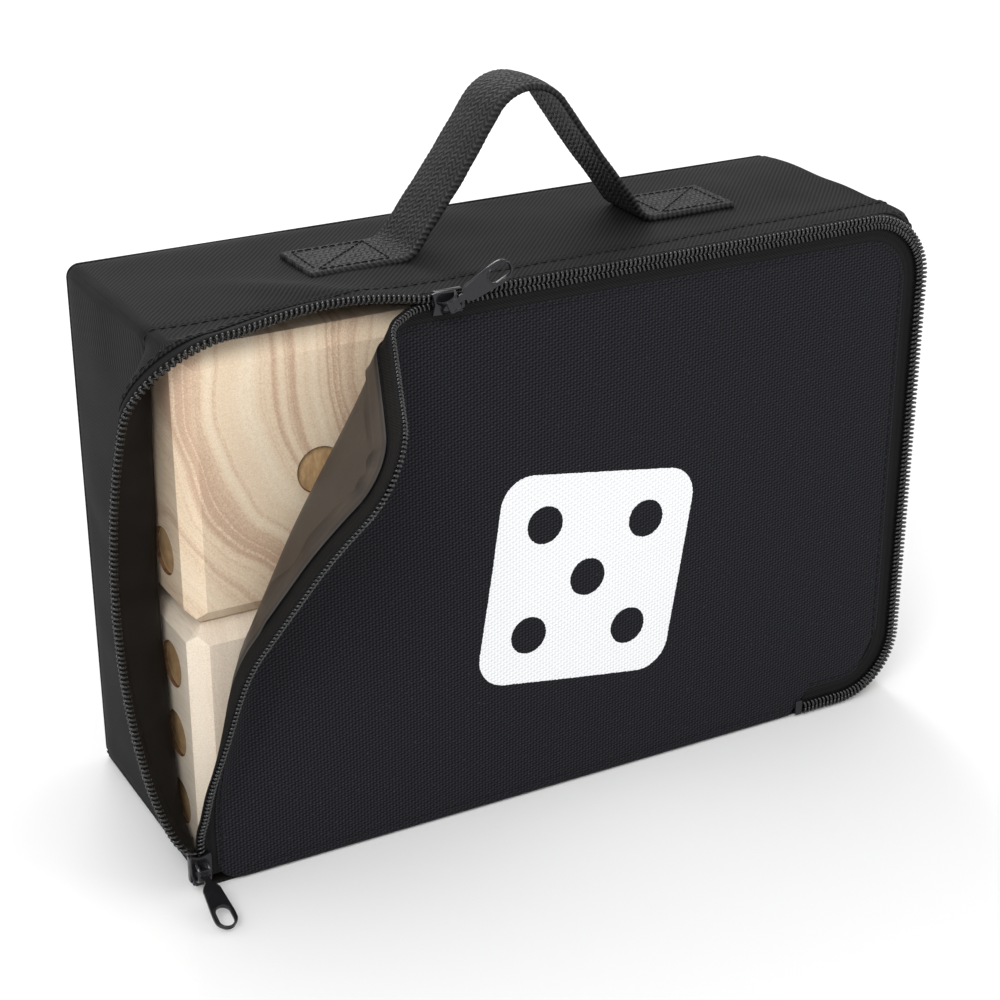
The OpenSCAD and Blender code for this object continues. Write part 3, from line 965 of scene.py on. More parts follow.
def flip_to(ob, direction, face):
    """Turns all normals so that one face looks in a direction."""
    if ob.data.polygons[face].normal.dot(direction) < 0:
        ob.data.flip_normals()


def build_flap_cloth():
    main_rows = stations(-246, -12, 3) + stations(-11, 4, 1.5)[1:] + stations(4, SPLIT, 0.75)[1:]
    tip_rows = stations(SPLIT, 31, 0.75) + stations(31, 90, 1.5)[1:]
    main = cloth_sheet("flap_cloth_main", main_rows, FLAP_PRINT)
    tip = cloth_sheet("flap_cloth_corner", tip_rows, FLAP_PLAIN)
    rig.replaces(main, "flap_panel", "flap_hem")
    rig.replaces(tip, "crease_panel", "corner_panel")
    for ob in (main, tip):
        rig.slot(ob, "flap_cloth")
    return main, tip


# ---------------------------------------------------------------- bands, coils and stitches

def flap_runs(before_split, us, inset, fewest=2):
    """The runs of stations along the zip that lie before, or past, the split between the folds."""
    runs, current, state = [], [], None
    for u in us:
        p = edge.at(u, inset)[0]
        now = across_fold(p[0], p[1]) < SPLIT
        if state is not None and now != state:
            runs.append((state, current + [u]))
            current = []
        current.append(u)
        state = now
    runs.append((state, current))
    return [run for state, run in runs if state == before_split and len(run) >= fewest]


def flap_strip(name, runs, columns, place, material, thickness, facing):
    """A strip of the flap along the zip, from place(u, column): a point and its flat coordinates."""
    points, uvs, faces = [], [], []
    for run in runs:
        faces += grid_faces(len(run), len(columns), start=len(points))
        for u in run:
            for column in columns:
                point, uv = place(u, column)
                points.append(point)
                uvs.append(uv)
    ob = mesh_object(name, points, faces, [material], uvs)
    flip_to(ob, Vector((0, facing, 0)), 0)
    return solidify(ob, thickness)


def flap_tape(before_split):
    """The zip's tape on the flap, from beside the coil to under the cloth's folded edge."""
    first, last, across = FLAP_IN - 0.3, TAPE_OUT_IN, 6
    insets = [first + (last - first) * k / across for k in range(across + 1)]
    runs = flap_runs(before_split, stations(0, edge.length, 2.0), (first + last) / 2)
    return flap_strip("flap_tape_" + part_name(before_split), runs, insets,
                      lambda u, inset: (peeled(u, inset, 0.02), (u, inset)), TAPE, 0.55, -1)


def part_name(before_split):
    return "main" if before_split else "corner"


def helix(first, last, frame_at):
    """A coil's wire between two stations; frame_at(u) gives (point, across, out)."""
    per_turn = 10
    count = max(4, int((last - first) / COIL_PITCH * per_turn))
    path = []
    for i in range(count + 1):
        u = first + (last - first) * i / count
        a = 2 * math.pi * u / COIL_PITCH
        point, across, out = frame_at(u)
        path.append(point + across * (COIL_ACROSS * math.cos(a)) + out * (COIL_HIGH * math.sin(a)))
    return tube(path, COIL_WIRE, sides=5)


def flap_coil(before_split):
    middle = COIL_HIGH + 0.25

    def frame_at(u):
        here = peeled(u, FLAP_COIL_IN, middle)
        across = peeled(u, FLAP_COIL_IN - 1, middle) - here
        out = peeled(u, FLAP_COIL_IN, middle + 1) - here
        return here, across.normalized(), out.normalized()

    runs = flap_runs(before_split, stations(0, edge.length, COIL_PITCH / 2), FLAP_COIL_IN, fewest=3)
    points, faces = joined([helix(run[0], run[-1], frame_at) for run in runs])
    return mesh_object("flap_coil_" + part_name(before_split), points, faces, [COIL])


def stitch_row(places, pitch=3.1, length=2.3, radius=0.2):
    """(points, faces) of short threads; places is a list of (point, out), close together."""
    marks = [0.0]
    for (a, _), (b, _) in zip(places, places[1:]):
        marks.append(marks[-1] + (b - a).length)

    def at(d):
        i = min(bisect.bisect_right(marks, d), len(marks) - 1) - 1
        f = (d - marks[i]) / max(marks[i + 1] - marks[i], 1e-6)
        return places[i][0].lerp(places[i + 1][0], f), places[i][1]

    parts = []
    d = pitch / 2
    while d + length < marks[-1]:
        path = []
        for k in range(5):
            p, out = at(d + length * k / 4)
            path.append(p + out * (radius * (1.1 - 1.6 * abs(k / 2 - 1) ** 2)))
        parts.append(tube(path, radius))
        d += pitch
    return joined(parts)


def flap_stitches(before_split):
    parts = []
    inset = CLOTH_IN + 1.8
    for run in flap_runs(before_split, stations(2, edge.length - 2, 1.0), inset, fewest=6):
        places = []
        for u in run:
            x, z = edge.at(u, inset)[0]
            out = (peel(x, z, 2) - peel(x, z, 1)).normalized()
            places.append((peel(x, z, 0.35 + ripple(x, z) * 0.6), out))
        parts.append(stitch_row(places))
    if before_split:
        hem = [(Vector((x, FRONT_Y - 0.35, ZIP_BOTTOM + 3.2)), Vector((0, -1, 0)))
               for x in range(int(ZIP_LEFT) + 16, int(ZIP_END_X) - 4)]
        parts.append(stitch_row(hem))
    points, faces = joined(parts)
    return mesh_object("flap_stitches_" + part_name(before_split), points, faces, [THREAD])


# Inset from the zip's outline, and height over the cloth, from the free edge to the stitches
SEAM_ROWS = [(CLOTH_IN + 8.5, 0.9), (CLOTH_IN + 6.0, 0.35), (CLOTH_IN + 3.0, 0.25), (CLOTH_IN + 0.6, 0.2)]


def seam_allowance(before_split):
    """The cut edge of the flap's cloth inside, beside the zip: a thin strip, wavy along its free edge."""
    def place(u, column):
        inset, lift = column
        shift = 0.0
        if inset == SEAM_ROWS[0][0]:
            shift = 0.8 * math.sin(u / 5.3) + 0.5 * math.sin(u / 2.9 + 1)
            lift += 0.5 * math.sin(u / 4.1)
        x, z = edge.at(u, inset + shift)[0]
        # Flat where a die slides over it
        free = smooth_step((z - 100) / 8)
        return peel(x, z, -0.6 - free * (0.4 + max(lift, 0.3))), (u, inset)

    runs = flap_runs(before_split, stations(3, edge.length - 3, 1.2), CLOTH_IN + 4, fewest=4)
    return flap_strip("flap_seam_" + part_name(before_split), runs, SEAM_ROWS, place, LINING, 0.35, 1)


def build_flap_trim():
    for before, tape_nodes, coil_nodes in (
            (True, ("flap_tape",), ("flap_coil",)),
            (False, ("crease_tape", "corner_tape"), ("crease_coil", "corner_coil"))):
        tape, coil, stitches, allowance = (
            make(before) for make in (flap_tape, flap_coil, flap_stitches, seam_allowance))
        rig.replaces(tape, *tape_nodes)
        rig.replaces(coil, *coil_nodes)
        for ob, name in ((tape, "tape"), (coil, "coil"), (stitches, "tape"), (allowance, "flap_cloth")):
            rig.slot(ob, name)
            on_flap(ob, before)


# ---------------------------------------------------------------- the case

BACK_ROUND = 2.5       # rounding of the case's back edges
CASE_CLOTH_T = 0.8
SEAM_DEPTH = 23.0      # where the gusset is sewn to the case
FOLD_EDGE = 4.6        # from the front edge to the folded edge of the case's cloth


def depth_list():
    full = BACK_Y - FRONT_Y - BACK_ROUND
    near = [FOLD_EDGE, FOLD_EDGE + 0.3, FOLD_EDGE + 0.8, FOLD_EDGE + 1.6]
    near += [7.5, 9, 11, 13, 15, 17.5, 20, 21.6, 22.4, SEAM_DEPTH, 23.6, 24.4, 26]
    return near + stations(29, full, 3.2)


def case_wrinkle(u, depth):
    """Soft creases of the case's cloth, outwards only."""
    fade = smooth_step((depth - 4) / 12) * smooth_step((BACK_Y - FRONT_Y - depth) / 9)
    value = noise.noise(Vector((u / 40, depth / 26, 3.7))) * 0.9
    value += noise.noise(Vector((u / 13, depth / 60, 9.2))) * 0.35
    value += 1.1 * math.exp(-((u - 268 + depth * 0.9) / 7) ** 2) * smooth_step((60 - depth) / 30)
    return max(0.0, 0.5 + 1.25 * value) * fade


def seam_profile(depth):
    """Ridge and groove where two cloths are sewn together."""
    d = depth - SEAM_DEPTH
    return 0.42 * math.exp(-((d + 0.7) / 0.7) ** 2) - 0.25 * math.exp(-((d - 0.3) / 0.45) ** 2)


def side_sheet(name, us):
    """A stretch of the case's sides from the zip back to the back panel's seam."""
    round_start = BACK_Y - FRONT_Y - BACK_ROUND
    columns = [(depth, None) for depth in depth_list()]
    columns += [(round_start + BACK_ROUND * math.sin(a), BACK_ROUND * (math.cos(a) - 1))
                for a in (math.radians(22.5 * k) for k in range(1, 5))]

    def place(u, column):
        depth, out = column
        if out is None:
            fold_edge = 0.35 * (1 - quarter_drop(1 - min((depth - FOLD_EDGE) / 1.2, 1))) - 0.1
            out = fold_edge + case_wrinkle(u, depth) + seam_profile(depth)
        return side_point(u, depth, out), (u, depth)

    return grid_sheet(name, us, columns, place, [CLOTH, INNER], CASE_CLOTH_T)


def face_outwards(ob, centre):
    """Turns a sheet's normals away from a point."""
    total = 0.0
    for poly in list(ob.data.polygons)[:: max(1, len(ob.data.polygons) // 200)]:
        total += poly.normal.dot(poly.center - Vector(centre) * MM)
    if total < 0:
        ob.data.flip_normals()
    return ob


def stretch_start(i):
    return sum(s[0] for s in edge.stretches[:i])


def build_sides():
    left_end, right_start, right_end = (
        stretch_start(i) + edge.stretches[i][0] / 2 for i in (TOP_LEFT, TOP_RIGHT, LOW_RIGHT))
    left = side_sheet("case_left_side", stations(0, left_end, 2.2))
    top = side_sheet("case_top", stations(left_end, right_start, 2.4))
    right = side_sheet("case_right_side", stations(right_start, right_end, 2.4))
    for ob, nodes in ((left, ("left_panel", "left_lip")), (top, ("top_panel",)), (right, ("right_panel",))):
        face_outwards(ob, (0, 0, CASE_TOP / 2))
        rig.replaces(ob, *nodes)
    return left, top, right


def build_bottom():
    """The case's underside, from the flap's hem to the back, turned up at its two ends."""
    xs = [-CASE_X, -CASE_X + 0.6, -CASE_X + 2] + stations(-CASE_X + 7, CASE_X - 7, 8)
    xs += [CASE_X - 2, CASE_X - 0.6, CASE_X]
    ys = stations(FRONT_Y + 1.5, BACK_Y - BACK_ROUND, 4) + [BACK_Y - 1.2, BACK_Y - 0.4, BACK_Y]
    end_round, corner_run, corner_back = 2.0, 22.0, 14.0

    def place(x, y):
        start = ys[0] + corner_back * quarter_drop(clamp((x - (CASE_X - corner_run)) / corner_run))
        y = start + (y - ys[0]) * (ys[-1] - start) / (ys[-1] - ys[0])
        back = clamp((y - (BACK_Y - BACK_ROUND)) / BACK_ROUND)
        side = 1 - min((CASE_X - abs(x)) / end_round, 1)
        return (x, y, max(BACK_ROUND * quarter_drop(back), end_round * quarter_drop(side))), (x, y)

    ob = grid_sheet("case_bottom", xs, ys, place, [CLOTH, INNER], CASE_CLOTH_T)
    flip_to(ob, Vector((0, 0, -1)), len(ob.data.polygons) // 2)
    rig.replaces(ob, "bottom_panel")
    return ob


def build_low_left():
    """The short corner of the left side below the zip's start."""
    heights = [1.6, 2.4, 3.4, ZIP_START_Z, ZIP_START_Z + 0.3]
    depths = [1.5, 3, FOLD_EDGE, 6, 9, 13, 18, SEAM_DEPTH] + stations(27, BACK_Y - FRONT_Y - BACK_ROUND, 6)

    def place(z, depth):
        p = side_point(0, depth, 0.1)
        tucked = 0.35 * (ZIP_START_Z - z) if depth < 10 else 0
        return (p[0] + tucked, p[1], z), (z, depth)

    ob = grid_sheet("case_left_foot", heights, depths, place, [CLOTH, INNER], CASE_CLOTH_T)
    return face_outwards(ob, (0, 0, 3))


def build_back():
    inset = BACK_ROUND - 0.3
    half, top, r = CASE_X - inset, CASE_TOP - inset, BODY_R
    columns, rows = 54, 38

    def place(row, column):
        x = -half + 2 * half * column / columns
        z = inset + (top - inset) * row / rows
        share = min(half - abs(x), z - inset, top - z)
        corner_x = half - r
        corner_z = top - r if z > top - r else inset + r
        if abs(x) > corner_x and (z > top - r or z < inset + r):
            v = Vector((abs(x) - corner_x, z - corner_z))
            if v.length > r:
                v = v.normalized() * r
                x, z = math.copysign(corner_x + v[0], x), corner_z + v[1]
        bulge = smooth_step(share / 26) * (0.7 + 0.6 * noise.noise(Vector((x / 45, z / 38, 1.1))))
        edge_drop = 0.5 * (1 - smooth_step(share / 3))
        return (x, BACK_Y + bulge - edge_drop, z), (x, z)

    ob = grid_sheet("case_back", range(rows + 1), range(columns + 1), place, [CLOTH, INNER], CASE_CLOTH_T)
    flip_to(ob, Vector((0, 1, 0)), len(ob.data.polygons) // 2)
    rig.replaces(ob, "back_panel")
    return ob


def build_piping():
    """The bound seam round the back panel."""
    r = 0.9
    outline = rounded_rect(r - CASE_X, r, CASE_X - r, CASE_TOP - r, BODY_R)
    path = [Vector((x, BACK_Y + 0.1, z)) for x, z in outline]
    points, faces = tube(path + path[:1], r, sides=10)
    return mesh_object("case_back_piping", points, faces, [CLOTH], [(p[0] + p[1], p[2]) for p in points])


def build_gusset_tape():
    def place(u, depth):
        return side_point(u, depth, -0.95 if depth < 0.5 else -0.45), (u, depth)

    depths = [-0.1, 0.8, 2.4, 4.0, 6.0, 8.0]
    ob = grid_sheet("gusset_tape_band", stations(0, edge.length, 2.0), depths, place, [TAPE, INNER], 0.5)
    face_outwards(ob, (0, FRONT_Y, CASE_TOP / 2))
    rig.replaces(ob, "gusset_tape")
    return ob


def build_gusset_coil():
    def frame_at(u):
        here = rim(u, GUSSET_COIL_IN) + Vector((0, -COIL_HIGH - 0.25, 0))
        n = edge.at(u)[1]
        return here, Vector((-n[0], 0, -n[1])), Vector((0, -1, 0))

    points, faces = helix(0.0, edge.length, frame_at)
    ob = mesh_object("gusset_coil_wire", points, faces, [COIL])
    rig.replaces(ob, "gusset_coil")
    return ob


def build_case_stitches():
    parts = []
    for depth, start, end in ((FOLD_EDGE + 1.9, 2, edge.length - 2),
                              (SEAM_DEPTH - 2.6, 4, stretch_start(LOW_RIGHT))):
        places = []
        for u in stations(start, end, 1.0):
            out = edge.at(u)[1]
            p = side_point(u, depth, 0.3 + case_wrinkle(u, depth))
            places.append((p, Vector((out[0], 0, out[1]))))
        parts.append(stitch_row(places, pitch=3.3, length=2.3, radius=0.19))
    points, faces = joined(parts)
    return mesh_object("case_stitches", points, faces, [THREAD])


def build_end_stop():
    """The stop that holds the two tapes together where the zip ends."""
    (x0, _, z0), (x1, _, z1) = low("zip_end_stops"), high("zip_end_stops")
    body = plate([rounded_rect(x0, z0, x1, z1, 0.8)], 0, 1.2, 0.3)
    points, faces = moved(body, Matrix(((1, 0, 0, 0), (0, 0, -1, FRONT_Y), (0, 1, 0, 0), (0, 0, 0, 1))))
    ob = mesh_object("zip_end_stop", points, faces, [METAL], smooth=False)
    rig.replaces(ob, "zip_end_stops")
    return ob


def build_case():
    for ob in (*build_sides(), build_bottom(), build_low_left(), build_back(), build_piping()):
        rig.slot(ob, "gusset_cloth")
        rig.ride(ob, "case")
    for ob, name in ((build_gusset_tape(), "tape"), (build_gusset_coil(), "coil"),
                     (build_case_stitches(), "tape"), (build_end_stop(), "coil")):
        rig.slot(ob, name)
        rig.ride(ob, "case")


# ---------------------------------------------------------------- the handle

STRAP_W = high("handle_strap")[1] - low("handle_strap")[1]
STRAP_Y = (high("handle_strap")[1] + low("handle_strap")[1]) / 2
HANDLE_X = (low("handle_strap")[0] + high("handle_strap")[0]) / 2
STRAP_HALF = (high("handle_strap")[0] - low("handle_strap")[0]) / 2
TAB_L = HANDLE_X - STRAP_HALF - low("handle_tab_left")[0]
STRAP_T = 2.2
STRAP_Z = low("handle_strap")[2] + STRAP_T / 2
RISE_ANGLE = math.radians(55)
BASE_R, CROWN_R = 8.0, 16.0
WEB_PITCH = 1.7        # from one thread across the webbing to the next
STRAP_BEND = 24.0      # how far from its tab the strap bends when it tilts


def strap_line():
    """The strap's middle line, from the left tab's end to the right one's, as (x, z, slope)."""
    straight = (STRAP_HALF - (BASE_R + CROWN_R) * math.sin(RISE_ANGLE)) / math.cos(RISE_ANGLE)
    half = [(-STRAP_HALF - TAB_L + 0.8 * i, 0.0, 0.0) for i in range(int(TAB_L / 0.8))]
    steps = 12
    for i in range(steps + 1):
        a = RISE_ANGLE * i / steps
        half.append((-STRAP_HALF + BASE_R * math.sin(a), BASE_R * (1 - math.cos(a)), a))
    x, z, a = half[-1]
    pieces = int(straight / 0.9)
    for i in range(1, pieces):
        d = straight * i / pieces
        half.append((x + d * math.cos(a), z + d * math.sin(a), a))
    top = z + straight * math.sin(a) + CROWN_R * (1 - math.cos(RISE_ANGLE))
    for i in range(steps * 2 + 1):
        a = RISE_ANGLE * (1 - i / (steps * 2))
        half.append((-CROWN_R * math.sin(a), top - CROWN_R * (1 - math.cos(a)), a))
    return half + [(-px, pz, -pa) for px, pz, pa in reversed(half[:-1])]


def strap_section():
    """Outline across the webbing: (across, up), with round selvedges."""
    half, t = STRAP_W / 2, STRAP_T / 2
    upper = [(half - t + t * math.cos(a), t * math.sin(a)) for a in (0, 0.5, 1.0, 1.45)]
    flat = [(half - 1.6 - (STRAP_W - 3.2) * k / 22, t) for k in range(23)]
    top = upper + flat + [(-x, z) for x, z in reversed(upper)]
    return top + [(-x, -z) for x, z in top[1:-1]]


def strap_half(name, keep):
    """Half of the webbing, where keep(x) says so: ribbed, with ridged selvedges, and cupped near its top."""
    line = [p for p in strap_line() if keep(p[0])]
    section = strap_section()
    points, uvs = [], []
    run = 0.0
    sign = -1 if line[0][0] < -1 else 1
    for i, (x, z, a) in enumerate(line):
        if i:
            run += math.hypot(x - line[i - 1][0], z - line[i - 1][1])
        cup = 0.9 * smooth_step((z - 6) / 20)
        for across, up in section:
            selvedge = 0.22 * math.sin(2 * math.pi * run / WEB_PITCH) * (abs(across) > STRAP_W / 2 - 1.6)
            offset = 2.2 if int((across + 20) / 2.05) % 2 else 0
            rib = 0.10 * math.sin(2 * math.pi * run / WEB_PITCH + offset)
            wide = across * (1 - 0.05 * smooth_step((z - 20) / 25)) + math.copysign(selvedge, across)
            arch = -cup * (across / (STRAP_W / 2)) ** 2
            lift = up + arch + rib * (1 if up > 0 else -1)
            points.append(Vector((
                HANDLE_X + x - lift * math.sin(a),
                STRAP_Y + wide + 0.8 * math.sin((x + 20) / 26) * smooth_step((z - 10) / 30),
                STRAP_Z + z + lift * math.cos(a),
            )))
            uvs.append((run * sign + 500, across))
    ob = mesh_object(name, points, ring_faces(len(line), len(section)), [WEBBING], uvs)
    face_outwards(ob, (HANDLE_X, STRAP_Y, CASE_TOP - 40))
    return ob


def box_stitch(x0, x1, y0, y1):
    """A rectangle of stitches with one diagonal."""
    z = CASE_TOP + STRAP_T + 0.15
    up = Vector((0, 0, 1))

    def between(a, b, steps):
        a, b = Vector((*a, z)), Vector((*b, z))
        return [(a.lerp(b, i / steps), up) for i in range(steps)]

    corners = [(x0, y0), (x1, y0), (x1, y1), (x0, y1), (x0, y0)]
    box = []
    for a, b in zip(corners, corners[1:]):
        box += between(a, b, int(math.dist(a, b)))
    diagonal = between((x0, y0), (x1, y1), 30) + [(Vector((x1, y1, z)), up)]
    return joined([stitch_row(places, 2.8, 2.0, 0.24) for places in (box, diagonal)])


def build_handle():
    sides = [("left", -1), ("right", 1)]
    halves = [strap_half("handle_webbing_" + side, lambda x: x * sign > -0.01) for side, sign in sides]
    for ob, (side, sign) in zip(halves, sides):
        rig.replaces(ob, "handle_tab_" + side, "handle_strap")
        start = Vector((HANDLE_X + sign * (STRAP_HALF - 1), STRAP_Y, STRAP_Z)) * MM
        end = Vector((HANDLE_X + sign * (STRAP_HALF - STRAP_BEND), STRAP_Y, STRAP_Z + STRAP_BEND)) * MM
        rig.slot(ob, "webbing")
        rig.blend(ob, "case", "handle", start, end)
        xs = sorted(HANDLE_X + sign * (STRAP_HALF + d) for d in (3, TAB_L - 3))
        ys = [STRAP_Y + d * (STRAP_W / 2 - 2.6) for d in (-1, 1)]
        points, faces = box_stitch(*xs, *ys)
        stitches = mesh_object("handle_stitches_" + side, points, faces, [THREAD])
        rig.slot(stitches, "webbing")
        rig.ride(stitches, "case")


# ---------------------------------------------------------------- sliders and pulls

SLIDER_L, CHANNEL, PIN_H = 11.0, 5.5, 5.4
ACROSS_MID = -(FLAP_IN + 2.0) / 2
PULL_L, PULL_W, PULL_T = 22.0, 7.5, 1.2


def slider_outline(mouth):
    """The slider's shape from above: wide shoulders at its mouth, narrower at its tail."""
    half = SLIDER_L / 2
    y0, y1 = -CHANNEL - 0.7, 1.0
    low_edge = [(half, 0.2), (half - 1.5, 0), (-1.0, 0.1), (1.2 - half, 0.8), (-half, 1.4)]
    loop = [(mouth * x, y0 + y) for x, y in low_edge] + [(mouth * x, y1 - y) for x, y in low_edge[::-1]]
    loop.append((mouth * (half - 0.9), (y0 + y1) / 2))
    return loop if mouth > 0 else loop[::-1]


def slider_parts(angle, mouth):
    half = SLIDER_L / 2
    front = plate([slider_outline(mouth)], 2.3, 3.4, 0.32)
    back = plate([rounded_rect(-half, -CHANNEL, half, -2.35, 0.8)], -1.7, -0.95, 0.2)
    flanges = [plate([rounded_rect(-half + 1.3, y, half - 0.4, y + 0.75, 0.3)], 0.5, 2.7, 0.2)
               for y in (-CHANNEL - 0.7, 0.28)]
    post_x = mouth * (half - 2)
    post_outline = rounded_rect(post_x - 1.6, -FLAP_IN + 0.2, post_x + 1.6, -FLAP_IN + 0.6, 0.15)
    post = plate([post_outline], -1.6, 2.5, 0.05)
    crown = []
    for side in (-1, 1):
        arch = [Vector((-3.1 * math.cos(a), side * 1.75, 2.9 + 3.7 * math.sin(a)))
                for a in [math.pi * k / 14 for k in range(15)]]
        crown.append(tube(arch, 0.55, sides=8))
    bridge = plate([rounded_rect(-2.0, -2.1, 2.0, 2.1, 0.8)], 6.05, 6.9, 0.3)
    pin = tube([Vector((0, -1.6, PIN_H)), Vector((0, 0, PIN_H)), Vector((0, 1.6, PIN_H))], 0.6, sides=14)
    turned = Matrix.Translation((0, ACROSS_MID, 0)) @ rotation(angle, "Z")
    crown_part = moved(joined(crown + [bridge, pin]), turned)
    return joined([front, back, post, crown_part, *flanges])


def pull_parts():
    """A pull along +X from its pin: an eye, a neck, and a plate with a rim round an oval hole."""
    r = PULL_W / 2
    end = PULL_L - r
    near, far = end - 2.2, end + 0.9     # middles of the oval hole's two ends
    neck = [(1.2, 1.0), (4.2, 1.15), (5.2, 2.2), (6.4, 2.9), (end - 2, r)]
    outline = [(x, -y) for x, y in neck] + arc(end, 0, r, -90, 90, 18) + neck[::-1]

    def oval(radius):
        return arc(far, 0, radius, -90, 90) + arc(near, 0, radius, 90, 270)

    body = plate([outline, oval(2.3)[::-1]], -PULL_T / 2, PULL_T / 2, 0.25)
    ring = oval(2.7)
    raised = [tube([Vector((x, y, z)) for x, y in ring + ring[:1]], 0.34, sides=8) for z in (-0.5, 0.5)]
    eyes = [tube([Vector((x, y, z)) for x, z in arc(0, 0, 1.15, 0, 360, 20)], 0.45, sides=8)
            for y in (-0.72, 0, 0.72)]
    return joined([body, *raised, *eyes])


def on_top():
    """From a slider's own frame (travel X, outline Y, outwards Z) to the top edge."""
    x = (low("top_slider")[0] + high("top_slider")[0]) / 2
    return Matrix(((1, 0, 0, x), (0, 0, -1, FRONT_Y), (0, 1, 0, ZIP_TOP), (0, 0, 0, 1)))


def on_side():
    """The same, to the left edge."""
    z = (low("bottom_slider")[2] + high("bottom_slider")[2]) / 2
    return Matrix(((0, -1, 0, ZIP_LEFT), (0, 0, -1, FRONT_Y), (1, 0, 0, z), (0, 0, 0, 1)))


def add_metal(name, suffix, part, matrix):
    """A slider's or pull's piece in place of its solid, with flat faces beside rounded edges."""
    points, faces = moved(part, matrix)
    ob = mesh_object(name + suffix, points, faces, [METAL])
    ob.data.set_sharp_from_angle(angle=math.radians(38))
    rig.replaces(ob, name)
    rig.slot(ob, "slider_metal")
    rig.ride(ob, name)


def pull_place(angle, swing):
    return Matrix.Translation((0, ACROSS_MID, PIN_H)) @ rotation(angle, "Z") @ rotation(-swing, "Y")


def build_sliders():
    for side, place, angle, mouth, swing in (("top", on_top(), 25, -1, 0), ("bottom", on_side(), 180, 1, 70)):
        add_metal(side + "_slider", "_shell", slider_parts(angle, mouth), place)
        add_metal(side + "_pull", "_tab", pull_parts(), place @ pull_place(angle, swing))


# ---------------------------------------------------------------- the dice

DIE = high("die_1")[2] - low("die_1")[2]
PIP_R, PIP_PITCH, PIP_DEPTH = 7.75, 25.0, 1.2
FACES = {  # front, left, top; opposite faces add up to seven
    "die_1": (1, 2, 3), "die_2": (4, 5, 1), "die_3": (2, 4, 6),
    "die_4": (3, 6, 2), "die_5": (6, 3, 5), "die_6": (5, 1, 4),
}
# heart of the growth rings beside the die's middle, ring spacing, squeeze, tint
GRAIN = {
    "die_1": ((58, 40), 9.0, 1.0, (1.0, 0.97, 0.93)),
    "die_2": ((-20, -70), 8.0, 1.0, (1.02, 1.0, 0.98)),
    "die_3": ((-260, 10), 7.0, 0.3, (0.97, 0.93, 0.86)),
    "die_4": ((-420, 0), 11.0, 0.12, (1.08, 1.1, 1.14)),
    "die_5": ((90, -30), 8.0, 0.8, (1.0, 0.98, 0.95)),
    "die_6": ((30, 260), 7.0, 0.4, (0.96, 0.92, 0.86)),
}


def pip_places(n):
    places = [(0, 0)] if n % 2 else []
    if n >= 2:
        places += [(-1, -1), (1, 1)]
    if n >= 4:
        places += [(-1, 1), (1, -1)]
    if n == 6:
        places += [(-1, 0), (1, 0)]
    return places


def face_matrices():
    """From a face's own frame, with Z outwards, to the die: front, back, left, right, top, bottom."""
    turns = ((0, 90), (0, -90), (-90, 90), (90, 90), (0, 0), (0, 180))
    return [rotation(z, "Z") @ rotation(x, "X") for z, x in turns]


def pip_dish(x, y):
    """A shallow painted dish whose rim wall is dark brown, painted shade of the recess: rings from its middle
    outwards.
    """
    profile = [(0.0, 0.15), (0.35, 0.12), (0.7, 0.02), (0.9, 0.0),
               (0.965, 0.05), (0.985, 0.45), (0.99, PIP_DEPTH + 0.02)]
    sides = 40
    points = [Vector((x, y, DIE / 2 - PIP_DEPTH + 0.06 + profile[0][1]))]
    faces, slots = [], []
    for share, rise in profile[1:]:
        for k in range(sides):
            a = 2 * math.pi * k / sides
            points.append(Vector((x + PIP_R * share * math.cos(a), y + PIP_R * share * math.sin(a),
                                  DIE / 2 - PIP_DEPTH + 0.06 * (share < 0.98) + rise)))
    for k in range(sides):
        faces.append((0, 1 + k, 1 + (k + 1) % sides))
        slots.append(0)
    for ring in range(len(profile) - 2):
        for k in range(sides):
            a = 1 + ring * sides + k
            b = 1 + ring * sides + (k + 1) % sides
            faces.append((a, a + sides, b + sides, b))
            # The rim rings take the dark brown painted shade of the recess
            slots.append(1 if ring >= 3 else 0)
    return points, faces, slots


def build_die(name):
    lo, hi = Vector(low(name)), Vector(high(name))
    middle = (lo + hi) / 2
    node = frame["nodes"][name]
    heart, ring, squeeze, tint = GRAIN[name]
    mat = wood("wood_" + name, middle * MM, heart, ring, squeeze, tint, 13.0 * int(name[-1]),
               0.35 if name == "die_4" else 1.0)
    node.data.materials.clear()
    node.data.materials.append(mat)
    weld = node.modifiers.new("weld", "WELD")
    weld.merge_threshold = 0.02 * MM
    round_edges = node.modifiers.new("soft_edges", "BEVEL")
    round_edges.width = 1.5 * MM
    round_edges.segments = 3
    round_edges.limit_method = "ANGLE"
    round_edges.angle_limit = math.radians(35)
    front, left, top = FACES[name]
    points, faces, slots = [], [], []
    numbers = (front, 7 - front, left, 7 - left, top, 7 - top)
    for matrix, number, side in zip(face_matrices(), numbers, (1, 1, -1, -1, 1, 1)):
        for px, py in pip_places(number):
            p, f, m = pip_dish(side * px * PIP_PITCH, py * PIP_PITCH)
            base = len(points)
            points += [middle + matrix @ v for v in p]
            faces += [tuple(base + i for i in face) for face in f]
            slots += m
    ob = mesh_object(name + "_pips", points, faces, [PIP, RIM_SHADE], face_slots=slots)
    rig.slot(ob, "die_wood")
    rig.ride(ob, name)


# ---------------------------------------------------------------- stage, lights and camera

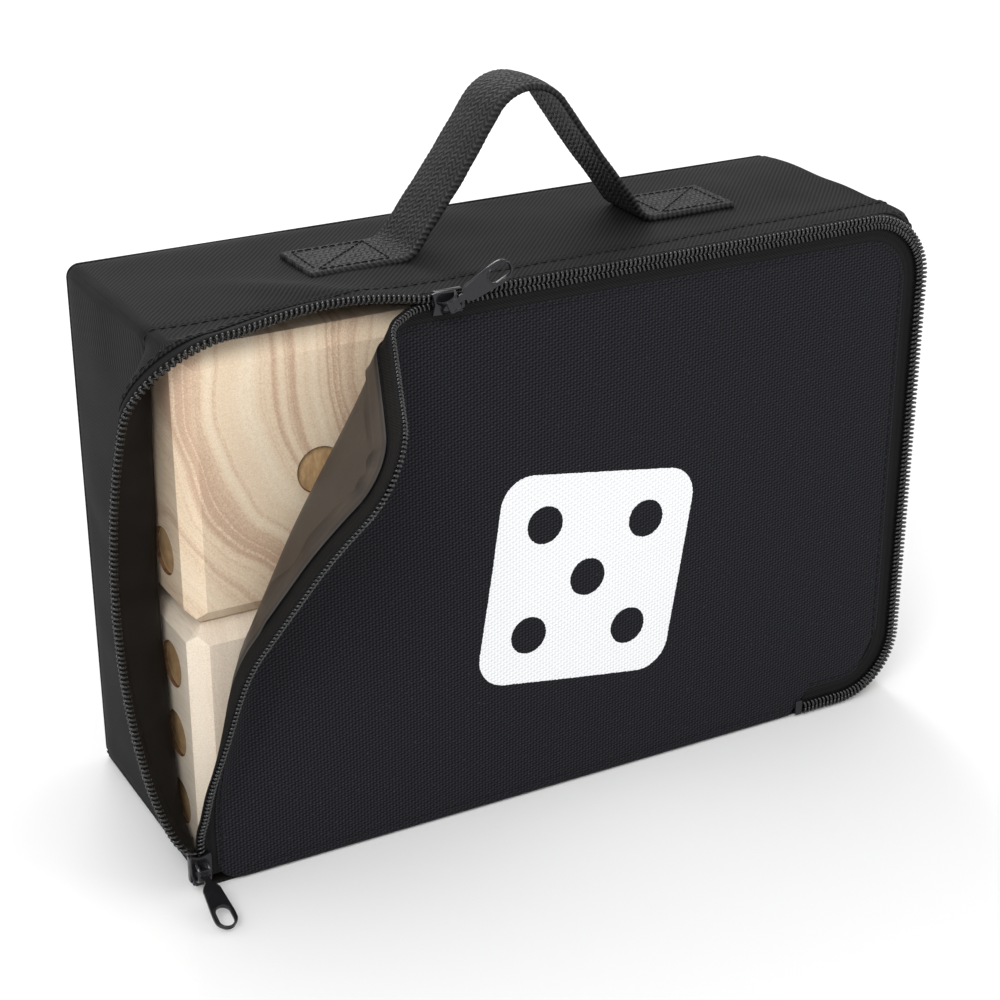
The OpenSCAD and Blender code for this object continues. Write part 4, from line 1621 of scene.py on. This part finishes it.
def build_stage():
    size = 6.0
    me = bpy.data.meshes.new("floor")
    corners = [(-size, -size, 0), (size, -size, 0), (size, size, 0), (-size, size, 0)]
    me.from_pydata(corners, [], [(0, 1, 2, 3)])
    me.materials.append(floor_paint())
    floor = link(bpy.data.objects.new("floor", me))
    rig.stage(floor)
    world = bpy.data.worlds.new("studio")
    bpy.context.scene.world = world
    world.use_nodes = True
    background = world.node_tree.nodes["Background"]
    background.inputs[0].default_value = (1, 1, 1, 1)
    background.inputs[1].default_value = 0.85


def area_light(name, place, target, size, power):
    data = bpy.data.lights.new(name, "AREA")
    data.shape = "DISK"
    data.size = size
    data.energy = power
    ob = link(bpy.data.objects.new(name, data))
    ob.location = place
    ob.rotation_euler = (Vector(target) - Vector(place)).to_track_quat("-Z", "Y").to_euler()


def build_lights():
    area_light("key", (-0.9, -1.1, 1.3), (0, 0, 0.08), 0.9, 16)
    area_light("fill", (1.5, -1.4, 0.9), (0, 0, 0.1), 1.2, 7)
    area_light("rim", (0.3, 1.4, 1.2), (0, 0, 0.15), 0.8, 9)


def build_camera():
    data = bpy.data.cameras.new("camera")
    data.lens = 79.5
    data.sensor_width = 36
    camera = link(bpy.data.objects.new("camera", data))
    camera.location = (-0.3358, -0.6065, 0.4032)
    back = Vector((-0.4376, -0.7982, 0.4139))
    camera.rotation_euler = (-back).to_track_quat("-Z", "Y").to_euler()
    data.clip_start, data.clip_end = 0.05, 50
    bpy.context.scene.camera = camera


build_stage()
build_lights()
build_camera()
flap_main, flap_tip = build_flap_cloth()
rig.sheet(flap_main, (0.262, 0.187), "stretched", area=flap_main["flat_area_mm2"] * MM ** 2)
on_flap(flap_main, True)
on_flap(flap_tip, False)
build_flap_trim()
build_case()
build_handle()
build_sliders()
for die in sorted(FACES):
    build_die(die)
bpy.context.scene.view_settings.view_transform = "Standard"

visual_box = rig.bounds()
with open("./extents.json", "w") as f:
    json.dump({"cad": [list(v) for v in cad_box], "visual": [list(v) for v in visual_box]}, f)
